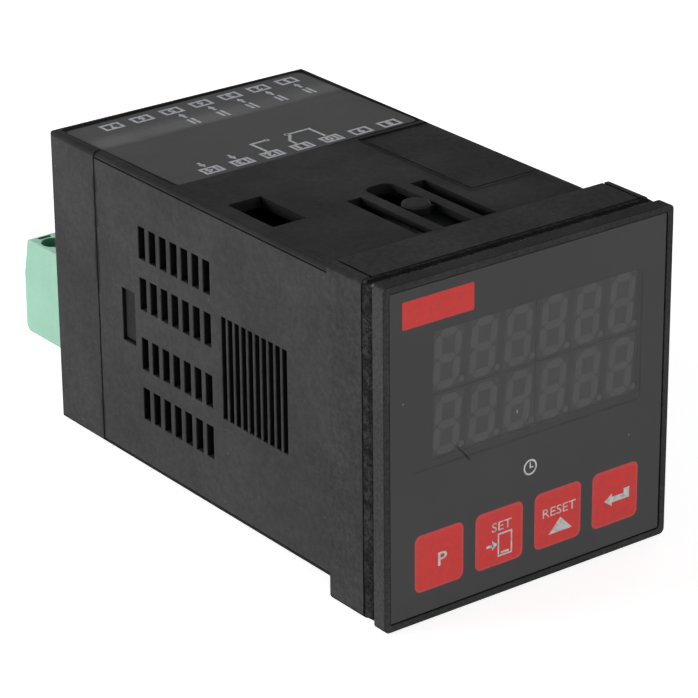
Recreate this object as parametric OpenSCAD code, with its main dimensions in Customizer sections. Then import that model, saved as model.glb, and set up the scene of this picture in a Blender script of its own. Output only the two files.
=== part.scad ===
// Digital panel timer for a square cut-out, with a printed front film, two rows of six digits,
// a slide-on retaining frame, a vented plastic case and a plug-in terminal block.
// x runs to the right seen from the front, y from the panel to the rear and z up.
// The origin is the middle of the panel's front face, which the gasket seals against.

/* [Bezel and film] */
// Overhang of the bezel beyond the case
bezel_lip = 1.8; // [1.7:0.1:3.8]
// Thickness of the bezel flange
bezel_t = 2.2; // [1.8:0.1:3]
// Corner radius of the bezel
bezel_r = 0.8; // [0.4:0.1:1.6]
// Width of the rim round the front film
rim_w = 0.95; // [0.7:0.05:1.2]
// Length of the skirt that goes into the case
skirt_len = 7.4; // [6.8:0.1:8]
// Thickness of the skirt
skirt_t = 1.1; // [0.9:0.1:1.3]
// Thickness of the front film
film_t = 0.25; // [0.15:0.05:0.4]
// Gap between the film's edge and the rim
film_fit = 0.1; // [0.05:0.05:0.2]
// Height of the embossed key fields above the film
key_emboss = 0.1; // [0.05:0.05:0.2]
// Width of a key field
key_w = 8; // [6:0.2:9]
// Height of a key field
key_h = 8.2; // [6:0.2:9]
// Corner radius of a key field
key_r = 1; // [0.5:0.1:2]
// Distance from the bezel's side to the middle of the outer keys
key_margin = 9; // [8.2:0.1:10]
// Distance from the bezel's lower edge to the middle of the keys
key_edge = 8.3; // [8:0.1:9.2]

/* [Display] */
// Height of a digit
digit_h = 8.1; // [7:0.1:8.4]
// Width of a digit
digit_w = 4.2; // [3.6:0.1:4.4]
// Distance from digit to digit
digit_pitch = 5.83; // [5.6:0.05:5.9]
// Lean of the digits in degrees
digit_lean = 5; // [0:1:8]
// Width of a segment
segment_t = 1.1; // [0.6:0.1:1.2]
// Gap between two segments
segment_gap = 0.08; // [0.06:0.02:0.2]
// Distance from the upper row of digits to the lower row
row_pitch = 9.1; // [8.8:0.1:9.4]
// Thickness of a display module
module_t = 5.95; // [5.5:0.05:6.4]
// Distance from the bezel's upper edge to the middle between the two rows
display_edge = 16.7; // [16:0.05:17]
// Sideways place of the display modules
display_shift = 1.2; // [0:0.1:1.2]
// Width of the window beyond the display modules at each side
window_side = 1.5; // [1.3:0.01:1.6]
// Height of the window beyond the display modules at each end
window_end = 0.6; // [0.4:0.1:0.8]

/* [Key switches] */
// Width of a switch
switch_w = 6; // [5.6:0.1:6.4]
// Height of a switch without its plunger
switch_t = 3.5; // [3:0.1:3.8]
// Diameter of a plunger
plunger_d = 3.4; // [3:0.1:3.6]
// Travel of a plunger
plunger_travel = 0.25; // [0.15:0.05:0.35]
// Running clearance round a plunger in its switch
plunger_fit = 0.05; // [0.03:0.01:0.08]
// Gap round a plunger in the bezel
plunger_gap = 0.4; // [0.3:0.05:0.6]
// Gap between a plunger and the film
touch_gap = 0.1; // [0.05:0.05:0.2]

/* [Panel fixing] */
// Thickness of the gasket
gasket_t = 2.4; // [1.6:0.1:3]
// Width of the gasket's strip
gasket_rim = 1.3; // [1.1:0.1:1.5]
// Wall of the retaining frame
frame_t = 1.5; // [1.2:0.1:1.6]
// Length of the retaining frame along the case
frame_len = 7.2; // [6:0.1:8]
// Corner radius of the retaining frame
frame_r = 0.9; // [0.5:0.1:1.3]
// Clearance of the retaining frame round the case
frame_fit = 0.1; // [0.05:0.01:0.15]
// Gap between the gasket and the retaining frame with no panel in between
frame_gap = 0.15; // [0.1:0.05:0.3]
// Width of the hinge line in the retaining frame
hinge_w = 0.35; // [0.2:0.05:0.5]
// Depth of the hinge line
hinge_depth = 0.45; // [0.2:0.05:0.6]

/* [Case] */
// Width and height of the case
body_w = 44.4; // [44.2:0.1:44.8]
// Length of the case behind the panel
body_len = 74.9; // [73:0.5:90]
// Wall thickness
wall = 1.6; // [1.4:0.1:1.8]
// Corner radius of the case
case_r = 0.9; // [0.6:0.1:1.2]
// Length of the rear cap
cap_len = 11.3; // [11:0.1:12]
// Wall at the rear of the cap
rear_t = 1.6; // [1.4:0.1:2]
// Width of the seams between the shells
seam = 0.15; // [0.1:0.05:0.25]
// Clearance of what goes into the case
shell_fit = 0.1; // [0.05:0.05:0.15]
// Height of the rim that the case keeps above and below the side cover
cover_lip = 0.9; // [0.7:0.1:1.1]
// Start of the side cover behind the panel
cover_front = 6.6; // [6.4:0.1:7]
// Length of the spigot and the tabs that go into the case
spigot_len = 3; // [2.6:0.1:3.2]

/* [Vents] */
// Number of vent slots in a row
vent_cols = 7; // [4:1:8]
// Width of a vent slot
vent_w = 1.65; // [1.2:0.05:1.8]
// Height of a vent slot
vent_h = 4.8; // [4:0.1:5]
// Distance from slot to slot
vent_pitch = 2.58; // [2.4:0.02:2.7]
// Height of the inner rows above and below the middle
vent_inner = 4.5; // [4.3:0.1:4.7]
// Height of the outer rows above and below the middle
vent_outer = 12.1; // [11.9:0.1:12.3]
// Distance from the rear cap to the first vent slot
vent_back = 10.7; // [10.4:0.1:11.4]
// Number of slots in the grille
grille_slots = 10; // [4:1:10]
// Width of a grille slot
grille_slot_w = 1.05; // [0.7:0.05:1.1]
// Distance from grille slot to grille slot
grille_pitch = 1.54; // [1.4:0.02:1.6]
// Height of the grille
grille_h = 15; // [12:0.5:18]
// Distance from the vents to the grille
grille_gap = 2.45; // [2:0.05:3]

/* [Snap tongues] */
// Length of a snap window
snap_len = 3.2; // [2.8:0.1:3.6]
// Height of a snap window
snap_h = 7.9; // [6:0.1:9]
// Distance from the rear cap to a snap window
snap_back = 6.1; // [5.8:0.1:6.6]
// Thickness of a snap tongue
tongue_t = 1.2; // [1:0.1:1.4]
// Height of the hook on a tongue
hook_rise = 1.2; // [0.8:0.1:1.4]
// Gap round the hook in its window
hook_gap = 0.3; // [0.2:0.05:0.4]

/* [Latch and top openings] */
// Sideways place of the latch
latch_x = 0.3; // [-1:0.1:1]
// Start of the latch behind the panel
latch_front = 10.9; // [10.5:0.1:12]
// Width of the slots beside the latch arms
latch_slot_w = 2.4; // [2:0.1:2.6]
// Length of the slots beside the latch arms
latch_slot_len = 15.5; // [14:0.1:17]
// Width of a latch arm
latch_arm_w = 1.9; // [1.5:0.1:2.1]
// Thickness of a latch arm
latch_arm_t = 1; // [0.8:0.1:1.2]
// Width of the opening between the arms
latch_gap_w = 4.6; // [4.2:0.1:5]
// Length of the opening between the arms
latch_gap_len = 17.8; // [16:0.1:19]
// Diameter of the latch's boss
boss_d = 4; // [3.4:0.1:4.2]
// Distance from the latch's start to its boss
boss_place = 8.9; // [8:0.1:10]
// Height of the boss above the case
boss_rise = 0.3; // [0.1:0.05:0.5]
// Width of the hooked opening
hook_hole_w = 5.4; // [4.6:0.1:6]
// Length of the hooked opening
hook_hole_len = 10.3; // [9:0.1:11]
// Distance from the case's side to the hooked opening
hook_hole_edge = 2.7; // [2.6:0.1:3.2]
// Start of the hooked opening behind the panel
hook_hole_front = 24.7; // [23:0.1:27]
// Length of the ramp in the hooked opening
hook_ramp = 2.6; // [1.5:0.1:4]
// Width of the sunk pad
pad_w = 12.7; // [10:0.1:13]
// Start of the sunk pad behind the panel
pad_front = 19.45; // [18:0.05:22]
// Depth of the sunk pad
pad_depth = 0.25; // [0.1:0.05:0.4]
// Distance from the case's left side to the label's recess
inlay_left = 1.3; // [1.1:0.1:3]
// Distance from the case's right side to the label's recess
inlay_right = 0.7; // [0.6:0.1:3]
// Length of the label's recess
inlay_len = 28.8; // [20:0.1:30]
// Distance from the case's rear face to the label's recess
inlay_back = 0.8; // [0.6:0.1:3]
// Rib between the label's recess and the sunk pad in front of it
inlay_rib = 0.6; // [0.3:0.1:2]
// Depth of the label's recess
inlay_depth = 0.3; // [0.15:0.05:0.5]
// Gap between the label and the edge of its recess
label_gap = 0.45; // [0.2:0.05:0.8]
// Corner radius of the label
label_r = 1; // [0.5:0.1:2]
// Thickness of the label
label_t = 0.12; // [0.08:0.02:0.2]

/* [Boards] */
// Thickness of the boards
pcb_t = 1.6; // [1.5:0.1:1.7]
// Gap from the case's inner face to the power and control boards
board_inset = 2.7; // [2.5:0.1:2.9]
// Gap at a board's edges
board_gap = 0.2; // [0.15:0.05:0.3]
// Gap between a board and the ribs that guide it
rail_fit = 0.1; // [0.05:0.05:0.15]
// Thickness of a guide rib
rail_t = 1; // [0.8:0.1:1.1]
// Height of a guide rib
rail_rise = 1.5; // [1.2:0.1:1.7]
// Gap between the transformer and the filter capacitor
transformer_side = 2.4; // [1:0.1:6]
// Gap between the transformer and the relay
transformer_end = 2.7; // [1:0.1:6]
// Height of the transformer
transformer_h = 20.5; // [16:0.5:21]
// Length of the relay across the case
relay_w = 19; // [15:0.1:19.5]
// Width of the relay along the case
relay_len = 15.5; // [12:0.1:15.8]
// Height of the relay
relay_h = 15.3; // [10:0.1:16]
// Diameter of the filter capacitor
capacitor_d = 8; // [6:0.5:9]
// Height of the filter capacitor
capacitor_h = 16; // [10:0.5:20]

/* [Terminals] */
// Distance from pole to pole
pole_pitch = 5.08; // [5:0.04:5.08]
// Height of a header
header_h = 8.6; // [8:0.1:9]
// Wall of a header
header_t = 1.1; // [0.9:0.1:1.2]
// Floor of a header
header_floor = 3; // [2:0.1:4]
// Length of a header
header_len = 13; // [12.5:0.1:13.5]
// Depth of a header's mouth behind the case's rear face
header_set = 0.3; // [0.1:0.1:0.6]
// Gap round a header in the rear cap
header_gap = 0.2; // [0.1:0.05:0.3]
// Width of a header pin
pin_w = 1; // [0.8:0.05:1]
// Height of the plug
plug_h = 14.7; // [14.4:0.1:14.7]
// Length of the plug behind the case
plug_len = 15.9; // [15:0.1:17]
// Height of the plug's top above the middle of the case
plug_top = 0; // [-0.4:0.1:0.4]
// Height of the nose's middle above the plug's bottom
nose_lift = 2.7; // [2.5:0.1:2.9]
// Length of the plug's nose
nose_len = 8.6; // [7:0.1:9]
// Clearance of the nose in a header
nose_fit = 0.2; // [0.1:0.05:0.3]
// Diameter of a screw hole in the plug
screw_hole_d = 3.9; // [3.7:0.1:4.1]
// Diameter of a terminal screw's head
screw_head_d = 3.7; // [3.3:0.1:3.7]
// Diameter of a terminal screw's shank
screw_d = 2.6; // [2.4:0.1:2.8]
// Distance from the plug's rear face to the screws
screw_back = 4.6; // [4.4:0.1:5]
// Width of a wire entry
entry_w = 3.6; // [3:0.1:3.8]
// Height of a wire entry
entry_h = 4; // [3.4:0.1:4.2]

/* [Hidden] */
$fn = 48;
eps = 0.01;
front_y = -gasket_t - bezel_t;
flange_y = -gasket_t;
bezel_w = body_w + 2 * bezel_lip;
frame_hole = body_w + 2 * frame_fit;
frame_w = frame_hole + 2 * frame_t;
gasket_w = frame_hole + 2 * gasket_rim;
recess_w = bezel_w - 2 * rim_w;
film_w = recess_w - 2 * film_fit;
film_y = front_y + key_emboss;
film_back_y = film_y + film_t;
inner_w = body_w - 2 * wall;
skirt_w = inner_w - 2 * shell_fit;
skirt_inner = skirt_w - 2 * skirt_t;
skirt_y = flange_y + skirt_len;
tooth_w = 5;
tooth_len = 1.4;
tooth_rise = 0.6;
tooth_y = flange_y + 5.6;
key_count = 4;
key_pitch = (bezel_w - 2 * key_margin) / (key_count - 1);
key_x = [for (i = [0 : key_count - 1]) (i - (key_count - 1) / 2) * key_pitch];
key_drop = bezel_w / 2 - key_edge;

module_digits = floor((skirt_inner / 2 - display_shift - board_gap) / digit_pitch);
module_w = module_digits * digit_pitch;
module_h = row_pitch;
display_rise = bezel_w / 2 - display_edge;
window_w = 2 * (module_w + window_side);
window_h = 2 * (module_h + window_end);
module_front_y = film_back_y + 0.2;
segment_rise = 0.05;
point_d = 0.9;
display_board_y = module_front_y + module_t;
display_back_y = display_board_y + pcb_t;
display_board_w = skirt_inner - 2 * board_gap;
plunger_y0 = film_back_y + touch_gap;
plunger_tail = 0.8;
switch_y = display_board_y - switch_t;
bore_y1 = switch_y + plunger_tail + plunger_travel + 0.15;

cap_y = body_len - cap_len;
shell_end_y = cap_y - seam;
cover_h = body_w - 2 * cover_lip;
snap_y1 = cap_y - snap_back;
snap_y0 = snap_y1 - snap_len;
snap_z = snap_h / 2;
vent_y1 = cap_y - vent_back;
vent_row_len = (vent_cols - 1) * vent_pitch + vent_w;
grille_y1 = vent_y1 - vent_row_len - grille_gap;
inlay_y1 = body_len - inlay_back;
inlay_y0 = inlay_y1 - inlay_len;
label_w = body_w - inlay_left - inlay_right - 2 * label_gap;
label_len = inlay_len - 2 * label_gap;
inlay_x = (inlay_left - inlay_right) / 2;
inlay_y = (inlay_y0 + inlay_y1) / 2;
top_z = body_w / 2;

board_z = inner_w / 2 - board_inset - pcb_t;
board_w = inner_w - 2 * board_gap;
header_mouth_y = body_len - header_set;
header_base_y = header_mouth_y - header_len;
terminal_board_y = header_base_y - pcb_t;
spigot_t = 1.2;
spigot_inner = skirt_w - 2 * spigot_t;
terminal_board_w = spigot_inner - 2 * board_gap;
board_y0 = skirt_y + 0.3;
board_y1 = terminal_board_y - 0.3;
rail_y0 = board_y0 + 3;
rail_y1 = cap_y - spigot_len - 1.5;
part_x = inner_w / 2 - rail_rise - 0.4;
strip_w = 2.5;
strip_pitch = 2.54;
strip_pins = 8;
strip_pin_w = 0.64;
chip_leg_w = 0.4;
chip_leg_out = 0.9;
strip_y0 = board_y0 + 0.2;
strip_y1 = board_y1 - 0.2;
transformer_y0 = strip_y0 + strip_w + 0.5;
relay_y0 = strip_y1 - strip_w - 0.3 - relay_len;
transformer_w = 2 * part_x - capacitor_d - transformer_side;
transformer_len = relay_y0 - transformer_end - transformer_y0;
relay_x0 = -part_x;
side_x = relay_x0 + relay_w + 2;
driver_w = 7.5;
driver_len = 15;
driver_h = 2.4;
driver_rise = 3;
rectifier_w = 5.6;
rectifier_len = 8;
rectifier_h = 3.2;
controller_w = 10;
controller_h = 1.4;
controller_y = board_y0 + 22;
memory_w = 3.9;
memory_len = 4.9;
memory_h = 1.6;
memory_x = part_x - memory_w / 2 - 4.75;
memory_y = board_y0 + 14;
crystal_w = 4.6;
crystal_len = 11;
crystal_h = 3.5;
crystal_x = -part_x + crystal_w / 2 + 4.4;
coupler_w = 6.4;
coupler_len = 4.6;
coupler_h = 3.4;
coupler_x = part_x - coupler_w / 2 - 5.5;
coupler_y = board_y1 - 12;

header_end = 0.7;
poles = floor((spigot_inner - 2 * header_gap - 2 * header_end) / pole_pitch);
row_w = poles * pole_pitch;
header_w = row_w + 2 * header_end;
plug_bottom = plug_top - plug_h;
nose_z = plug_bottom + nose_lift;
header_z = [nose_z, nose_z + plug_h];
pin_x = [for (i = [0 : poles - 1]) (i - (poles - 1) / 2) * pole_pitch];
pin_tail = 0.3;
pin_y1 = header_mouth_y - 3;
plug_y0 = body_len + 0.1;
plug_y1 = body_len + plug_len;
nose_h = header_h - 2 * header_t - 2 * nose_fit;
nose_y0 = header_mouth_y - nose_len;
screw_y = plug_y1 - screw_back;
cage_w = 4.2;
cage_len = 5.4;
cage_t = 0.7;
part_fit = 0.1;
contact_w = 2.2;
contact_bore = pin_w + 0.1;
cage_z1 = plug_top - 4.2;
cage_z0 = nose_z - contact_w / 2 - part_fit - cage_t;
entry_z = cage_z0 + cage_t + part_fit + entry_h / 2;

// Square with round corners, drawn round its middle
module rounded_rect(w, h, r) {
    square([w - 2 * r, h], center = true);
    square([w, h - 2 * r], center = true);
    for (x = [-1, 1], z = [-1, 1]) translate([x * (w / 2 - r), z * (h / 2 - r)]) circle(r);
}

// A front outline, drawn in x and z, as a prism from y0 to y1
module prism_y(y0, y1) {
    translate([0, y1, 0]) rotate([90, 0, 0]) linear_extrude(y1 - y0) children();
}

// A side outline, drawn in y and z, as a prism from x0 to x1
module prism_x(x0, x1) {
    translate([x0, 0, 0]) rotate([90, 0, 90]) linear_extrude(x1 - x0) children();
}

// A plan outline, drawn in x and y, as a prism from z0 to z1
module prism_z(z0, z1) {
    translate([0, 0, z0]) linear_extrude(z1 - z0) children();
}

// A box between two corners
module box(low, high) {
    translate(low) cube(high - low);
}

// The bezel: flange, film recess, window, key holes, skirt with four teeth, and posts for the board
module front_bezel() {
    post_w = key_pitch - switch_w - 1;
    post_h = 2;
    color("#2b2b2d") {
        difference() {
            prism_y(front_y, flange_y) rounded_rect(bezel_w, bezel_w, bezel_r);
            prism_y(front_y - 1, film_back_y) rounded_rect(recess_w, recess_w, bezel_r / 2);
            prism_y(front_y - 1, flange_y + 1) translate([0, display_rise])
                square([window_w, window_h], center = true);
            for (x = key_x) translate([x, 0, -key_drop]) prism_y(front_y - 1, flange_y + 1)
                circle(d = plunger_d + 2 * plunger_gap);
        }
        difference() {
            prism_y(flange_y, skirt_y) rounded_rect(skirt_w, skirt_w, 0.5);
            prism_y(flange_y - 1, skirt_y + 1) square(skirt_inner, center = true);
        }
        for (x = [-1, 1], z = [0, 180]) rotate([0, z, 0]) translate([x * key_pitch, 0, 0]) {
            box([-post_w / 2, flange_y - eps, skirt_inner / 2 - post_h],
                [post_w / 2, display_board_y, skirt_inner / 2 + eps]);
            prism_x(-tooth_w / 2, tooth_w / 2)
                polygon([[tooth_y, skirt_w / 2 - eps], [tooth_y + tooth_len, skirt_w / 2 - eps],
                         [tooth_y, skirt_w / 2 + tooth_rise]]);
        }
    }
}

// The pockets inside the case that catch the bezel's teeth
module tooth_pockets() {
    gap = 0.3;
    for (x = [-1, 1], z = [0, 180]) rotate([0, z, 0]) translate([x * key_pitch, 0, 0])
        box([-tooth_w / 2 - gap, tooth_y - shell_fit, inner_w / 2 - 1],
            [tooth_w / 2 + gap, tooth_y + tooth_len + gap, skirt_w / 2 + tooth_rise + shell_fit]);
}

// The front film with its four embossed key fields
module front_film() {
    color("#434345") {
        prism_y(film_y, film_back_y) rounded_rect(film_w, film_w, bezel_r / 2);
        for (x = key_x) translate([x, 0, -key_drop])
            prism_y(film_y - key_emboss, film_y + eps) rounded_rect(key_w, key_h, key_r);
    }
}

// The foam gasket between the bezel and the panel
module panel_gasket() {
    color("#262627") prism_y(flange_y, 0) difference() {
        rounded_rect(gasket_w, gasket_w, frame_r);
        rounded_rect(frame_hole, frame_hole, case_r);
    }
}

// The square collar that slides along the case, with a hinge line along each corner of its top
module retaining_frame() {
    y0 = frame_gap;
    y1 = frame_gap + frame_len;
    color("#2d2d2f") difference() {
        prism_y(y0, y1) rounded_rect(frame_w, frame_w, frame_r);
        prism_y(y0 - 1, y1 + 1) rounded_rect(frame_hole, frame_hole, case_r);
        for (x = [-1, 1], z = [0, 180]) rotate([0, z, 0])
            box([x * body_w / 2 - hinge_w / 2, y0 - 1, frame_w / 2 - hinge_depth],
                [x * body_w / 2 + hinge_w / 2, y1 + 1, frame_w]);
    }
}

// One side's vents, grille and snap window, drawn in y and z
module side_openings() {
    for (z = [-vent_outer, -vent_inner, vent_inner, vent_outer], i = [0 : vent_cols - 1])
        translate([vent_y1 - vent_w - i * vent_pitch, z - vent_h / 2]) square([vent_w, vent_h]);
    for (i = [0 : grille_slots - 1])
        translate([grille_y1 - grille_slot_w - i * grille_pitch, -grille_h / 2])
            square([grille_slot_w, grille_h]);
    translate([snap_y0, -snap_z]) square([snap_len, snap_h]);
}

// The ribs on a side's inner face that guide the power and control boards
module board_rails(side) {
    for (z = [-1, 1], face = [board_z - rail_fit - rail_t, board_z + pcb_t + rail_fit]) {
        x0 = inner_w / 2 - rail_rise;
        z0 = z > 0 ? face : -face - rail_t;
        box([side > 0 ? x0 : -inner_w / 2 - eps, rail_y0, z0],
            [side > 0 ? inner_w / 2 + eps : -x0, rail_y1, z0 + rail_t]);
    }
}

// Slots of one latch, drawn in x and y from the latch's start
module latch_slots() {
    arch_r = 1.5;
    for (side = [-1, 1]) translate([side * (latch_gap_w / 2 + latch_arm_w + latch_slot_w / 2), 0])
        translate([-latch_slot_w / 2, 0]) square([latch_slot_w, latch_slot_len]);
    translate([-latch_gap_w / 2, 0]) square([latch_gap_w, latch_gap_len - arch_r]);
    translate([-latch_gap_w / 2 + arch_r, 0]) square([latch_gap_w - 2 * arch_r, latch_gap_len]);
    for (side = [-1, 1]) translate([side * (latch_gap_w / 2 - arch_r), latch_gap_len - arch_r])
        circle(arch_r);
}

// The latch's thin arms are cut from below
module latch_cut() {
    translate([latch_x, latch_front, 0]) {
        prism_z(top_z - wall - 1, top_z + 1) latch_slots();
        box([-latch_gap_w / 2 - latch_arm_w - eps, 0, top_z - wall - 1],
            [latch_gap_w / 2 + latch_arm_w + eps, latch_slot_len, top_z - latch_arm_t]);
    }
}

// The bridge between the latch's arms carries a round boss
module latch_bridge() {
    bridge_len = 2.4;
    edge = 0.3;
    translate([latch_x, latch_front + boss_place, 0]) {
        box([-latch_gap_w / 2 - eps, -bridge_len / 2, top_z - latch_arm_t],
            [latch_gap_w / 2 + eps, bridge_len / 2, top_z - 0.3]);
        translate([0, 0, top_z - latch_arm_t]) rotate_extrude() {
            square([boss_d / 2, latch_arm_t + boss_rise - edge]);
            square([boss_d / 2 - edge, latch_arm_t + boss_rise]);
            translate([boss_d / 2 - edge, latch_arm_t + boss_rise - edge]) circle(edge);
        }
    }
}

// The recess on the top of the case and the rear cap that the label lies in
module label_inlay() {
    translate([inlay_x, inlay_y, 0]) prism_z(top_z - inlay_depth, top_z + 1)
        rounded_rect(label_w + 2 * label_gap, label_len + 2 * label_gap, label_r);
}

// Case: top, right side and bottom, a full ring at the front, open on the left and at the rear
module main_housing() {
    color("#2e2e30") {
        difference() {
            prism_y(flange_y, shell_end_y) difference() {
                rounded_rect(body_w, body_w, case_r);
                square(inner_w, center = true);
            }
            box([-body_w, cover_front - seam, -cover_h / 2 - seam],
                [-inner_w / 2, body_len, cover_h / 2 + seam]);
            prism_x(inner_w / 2 - 1, body_w) side_openings();
            tooth_pockets();
            latch_cut();
            rotate([0, 180, 0]) latch_cut();
            prism_x(-body_w / 2 + hook_hole_edge, -body_w / 2 + hook_hole_edge + hook_hole_w)
                polygon([[hook_hole_front - hook_ramp, top_z + wall],
                         [hook_hole_front + hook_hole_len, top_z + wall],
                         [hook_hole_front + hook_hole_len, top_z - 2 * wall],
                         [hook_hole_front + 2 * hook_ramp, top_z - 2 * wall]]);
            label_inlay();
            box([body_w / 2 - pad_w, pad_front, top_z - pad_depth],
                [body_w, inlay_y0 - inlay_rib, top_z + 1]);
        }
        latch_bridge();
        rotate([0, 180, 0]) latch_bridge();
        board_rails(1);
    }
}

// Left side of the case: a plate with the vents, the guide ribs and a tab at its front
module side_cover() {
    tab_h = 16;
    tab_t = 1;
    tab_foot = 2;
    tab_y0 = skirt_y + 0.2;
    color("#48484a") {
        difference() {
            prism_x(-body_w / 2, -inner_w / 2)
                translate([cover_front, -cover_h / 2]) square([shell_end_y - cover_front, cover_h]);
            prism_x(-body_w, -inner_w / 2 + 1) side_openings();
        }
        board_rails(-1);
        box([-inner_w / 2 - eps, cover_front + seam, -tab_h / 2],
            [-inner_w / 2 + tab_t + shell_fit, cover_front + tab_foot, tab_h / 2]);
        box([-inner_w / 2 + shell_fit, tab_y0, -tab_h / 2],
            [-inner_w / 2 + tab_t + shell_fit, cover_front + tab_foot, tab_h / 2]);
    }
}

// One snap tongue of the rear cap, on the right side, with its hook in the side's window
module snap_tongue() {
    tongue_x = inner_w / 2 - shell_fit;
    hook_y = snap_y1 - hook_gap / 2;
    hook_flat = snap_len - 3 * hook_gap;
    z = snap_z - hook_gap;
    box([tongue_x - tongue_t, snap_y0 - 1, -z], [tongue_x, cap_y + eps, z]);
    prism_z(-z, z) polygon([[tongue_x - eps, snap_y0 + hook_gap], [tongue_x - eps, hook_y],
                            [tongue_x + hook_rise, hook_y], [tongue_x + hook_rise, hook_y - hook_flat]]);
}

// Rear cap: shell, rear wall with two terminal openings, spigot, posts for the board and snap tongues
module rear_cover() {
    edge_r = 0.6;
    post_w = 2.4;
    opening_w = header_w + 2 * header_gap;
    opening_h = header_h + 2 * header_gap;
    color("#48484a") difference() {
        union() {
            intersection() {
                prism_y(cap_y, body_len) rounded_rect(body_w, body_w, case_r);
                prism_x(-body_w, body_w) translate([body_len - body_w / 2, 0])
                    rounded_rect(body_w, body_w + 2 * eps, edge_r);
                prism_z(-body_w, body_w) translate([0, body_len - body_w / 2])
                    rounded_rect(body_w + 2 * eps, body_w, edge_r);
            }
            prism_y(cap_y - spigot_len, cap_y + eps) rounded_rect(skirt_w, skirt_w, 0.5);
        }
        prism_y(cap_y - spigot_len - 1, body_len - rear_t) square(spigot_inner, center = true);
        for (z = header_z) translate([0, 0, z])
            prism_y(body_len - rear_t - 1, body_len + 1) square([opening_w, opening_h], center = true);
        label_inlay();
    }
    color("#48484a") {
        for (x = [-1, 1], z = [(header_z[0] + header_z[1]) / 2, (spigot_inner - post_w) / 2])
            translate([x * (spigot_inner - post_w) / 2, 0, z])
                prism_y(header_base_y, body_len - rear_t + eps) square(post_w + 2 * eps, center = true);
        for (x = [0, 180]) rotate([0, x, 0]) snap_tongue();
    }
}

// Label in its recess on the top of the case
module rating_label() {
    color("#434345") translate([inlay_x, inlay_y, top_z - inlay_depth])
        prism_z(0, label_t) rounded_rect(label_w, label_len, label_r);
}

// A round capacitor can standing on z = 0, with the groove above its foot
module can(d, h) {
    groove = 0.4;
    rotate_extrude() difference() {
        square([d / 2, h]);
        translate([d / 2 + groove / 2, 1.6]) circle(groove);
        translate([d / 2 - groove, h - groove]) square(1);
    }
}

// A flat chip lying on z = 0, with legs along two sides, or along all four
module chip(w, l, h, legs, all_sides = false) {
    pitch = l / (legs + 0.5);
    box([-w / 2, -l / 2, 0], [w / 2, l / 2, h]);
    for (i = [0 : legs - 1], side = [-1, 1]) translate([0, (i - (legs - 1) / 2) * pitch, 0]) {
        box([side > 0 ? w / 2 - eps : -w / 2 - chip_leg_out, -chip_leg_w / 2, 0],
            [side > 0 ? w / 2 + chip_leg_out : -w / 2 + eps, chip_leg_w / 2, h / 3]);
    }
    if (all_sides) rotate([0, 0, 90]) for (i = [0 : legs - 1], side = [-1, 1])
        translate([0, (i - (legs - 1) / 2) * pitch, 0])
            box([side > 0 ? l / 2 - eps : -l / 2 - chip_leg_out, -chip_leg_w / 2, 0],
                [side > 0 ? l / 2 + chip_leg_out : -l / 2 + eps, chip_leg_w / 2, h / 3]);
}

// Board behind the front
module display_board() {
    color("#12331f") prism_y(display_board_y, display_back_y) square(display_board_w, center = true);
}

// A point of a digit, leaned over
function lean(p) = [p[0] + p[1] * tan(digit_lean), p[1]];

// One segment of a digit: a six-sided bar along the line from a to b
module segment(a, b) {
    d = (b - a) / norm(b - a);
    n = [-d[1], d[0]];
    h = segment_t / 2;
    p = a + d * segment_gap;
    q = b - d * segment_gap;
    polygon([for (c = [p, p + (d + n) * h, q + (n - d) * h, q, q - (d + n) * h, p + (d - n) * h]) lean(c)]);
}

// Seven segments and a point
module digit() {
    x = (digit_w - segment_t) / 2;
    z = (digit_h - segment_t) / 2;
    for (r = [-1, 0, 1]) segment([-x, r * z], [x, r * z]);
    for (s = [-1, 1], r = [-1, 0]) segment([s * x, r * z], [s * x, (r + 1) * z]);
    translate(lean([x + segment_t / 2 + point_d / 2 + segment_gap, -z])) circle(d = point_d);
}

// A display module in place: column 0 or 1 from the left, row 0 or 1 from the top
module display_module(column, row) {
    x = display_shift + (column - 0.5) * module_w;
    z = display_rise + (0.5 - row) * row_pitch;
    color("#3c3c40") translate([x, 0, z]) {
        prism_y(module_front_y + segment_rise, display_board_y)
            square([module_w - 0.1, module_h - 0.1], center = true);
        for (i = [0 : module_digits - 1])
            translate([(i - (module_digits - 1) / 2) * digit_pitch, 0, 0])
                prism_y(module_front_y, module_front_y + segment_rise + eps) digit();
    }
}
module upper_display_left() { display_module(0, 0); }
module upper_display_right() { display_module(1, 0); }
module lower_display_left() { display_module(0, 1); }
module lower_display_right() { display_module(1, 1); }

// A key switch in place, with the bore that its plunger runs in
module key_switch(i) {
    color("#38383a") translate([key_x[i], 0, -key_drop]) difference() {
        prism_y(switch_y, display_board_y) square(switch_w, center = true);
        prism_y(switch_y - 1, bore_y1) circle(d = plunger_d + 2 * plunger_fit);
        for (x = [-1, 1], z = [-1, 1]) translate([x, 0, z] * switch_w / 2)
            prism_y(switch_y - 1, switch_y + 0.6) circle(d = 1.4);
    }
}
module program_key_switch() { key_switch(0); }
module set_key_switch() { key_switch(1); }
module reset_key_switch() { key_switch(2); }
module enter_key_switch() { key_switch(3); }

// The plunger of a key switch
module key_plunger(i) {
    color("#d8d4c8") translate([key_x[i], 0, -key_drop])
        prism_y(plunger_y0, switch_y + plunger_tail) circle(d = plunger_d);
}
module program_key_plunger() { key_plunger(0); }
module set_key_plunger() { key_plunger(1); }
module reset_key_plunger() { key_plunger(2); }
module enter_key_plunger() { key_plunger(3); }

// Chip on the back of the display board
module display_driver() {
    color("#26262a") translate([0, display_back_y, driver_rise]) rotate([-90, 0, 0])
        chip(driver_w, driver_len, driver_h, 10);
}

// A lengthwise board with its inner face at the given height
module long_board() {
    color("#12331f") box([-board_w / 2, board_y0, -board_z - pcb_t], [board_w / 2, board_y1, -board_z]);
}
module power_board() { long_board(); }
module control_board() { rotate([0, 180, 0]) long_board(); }

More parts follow.
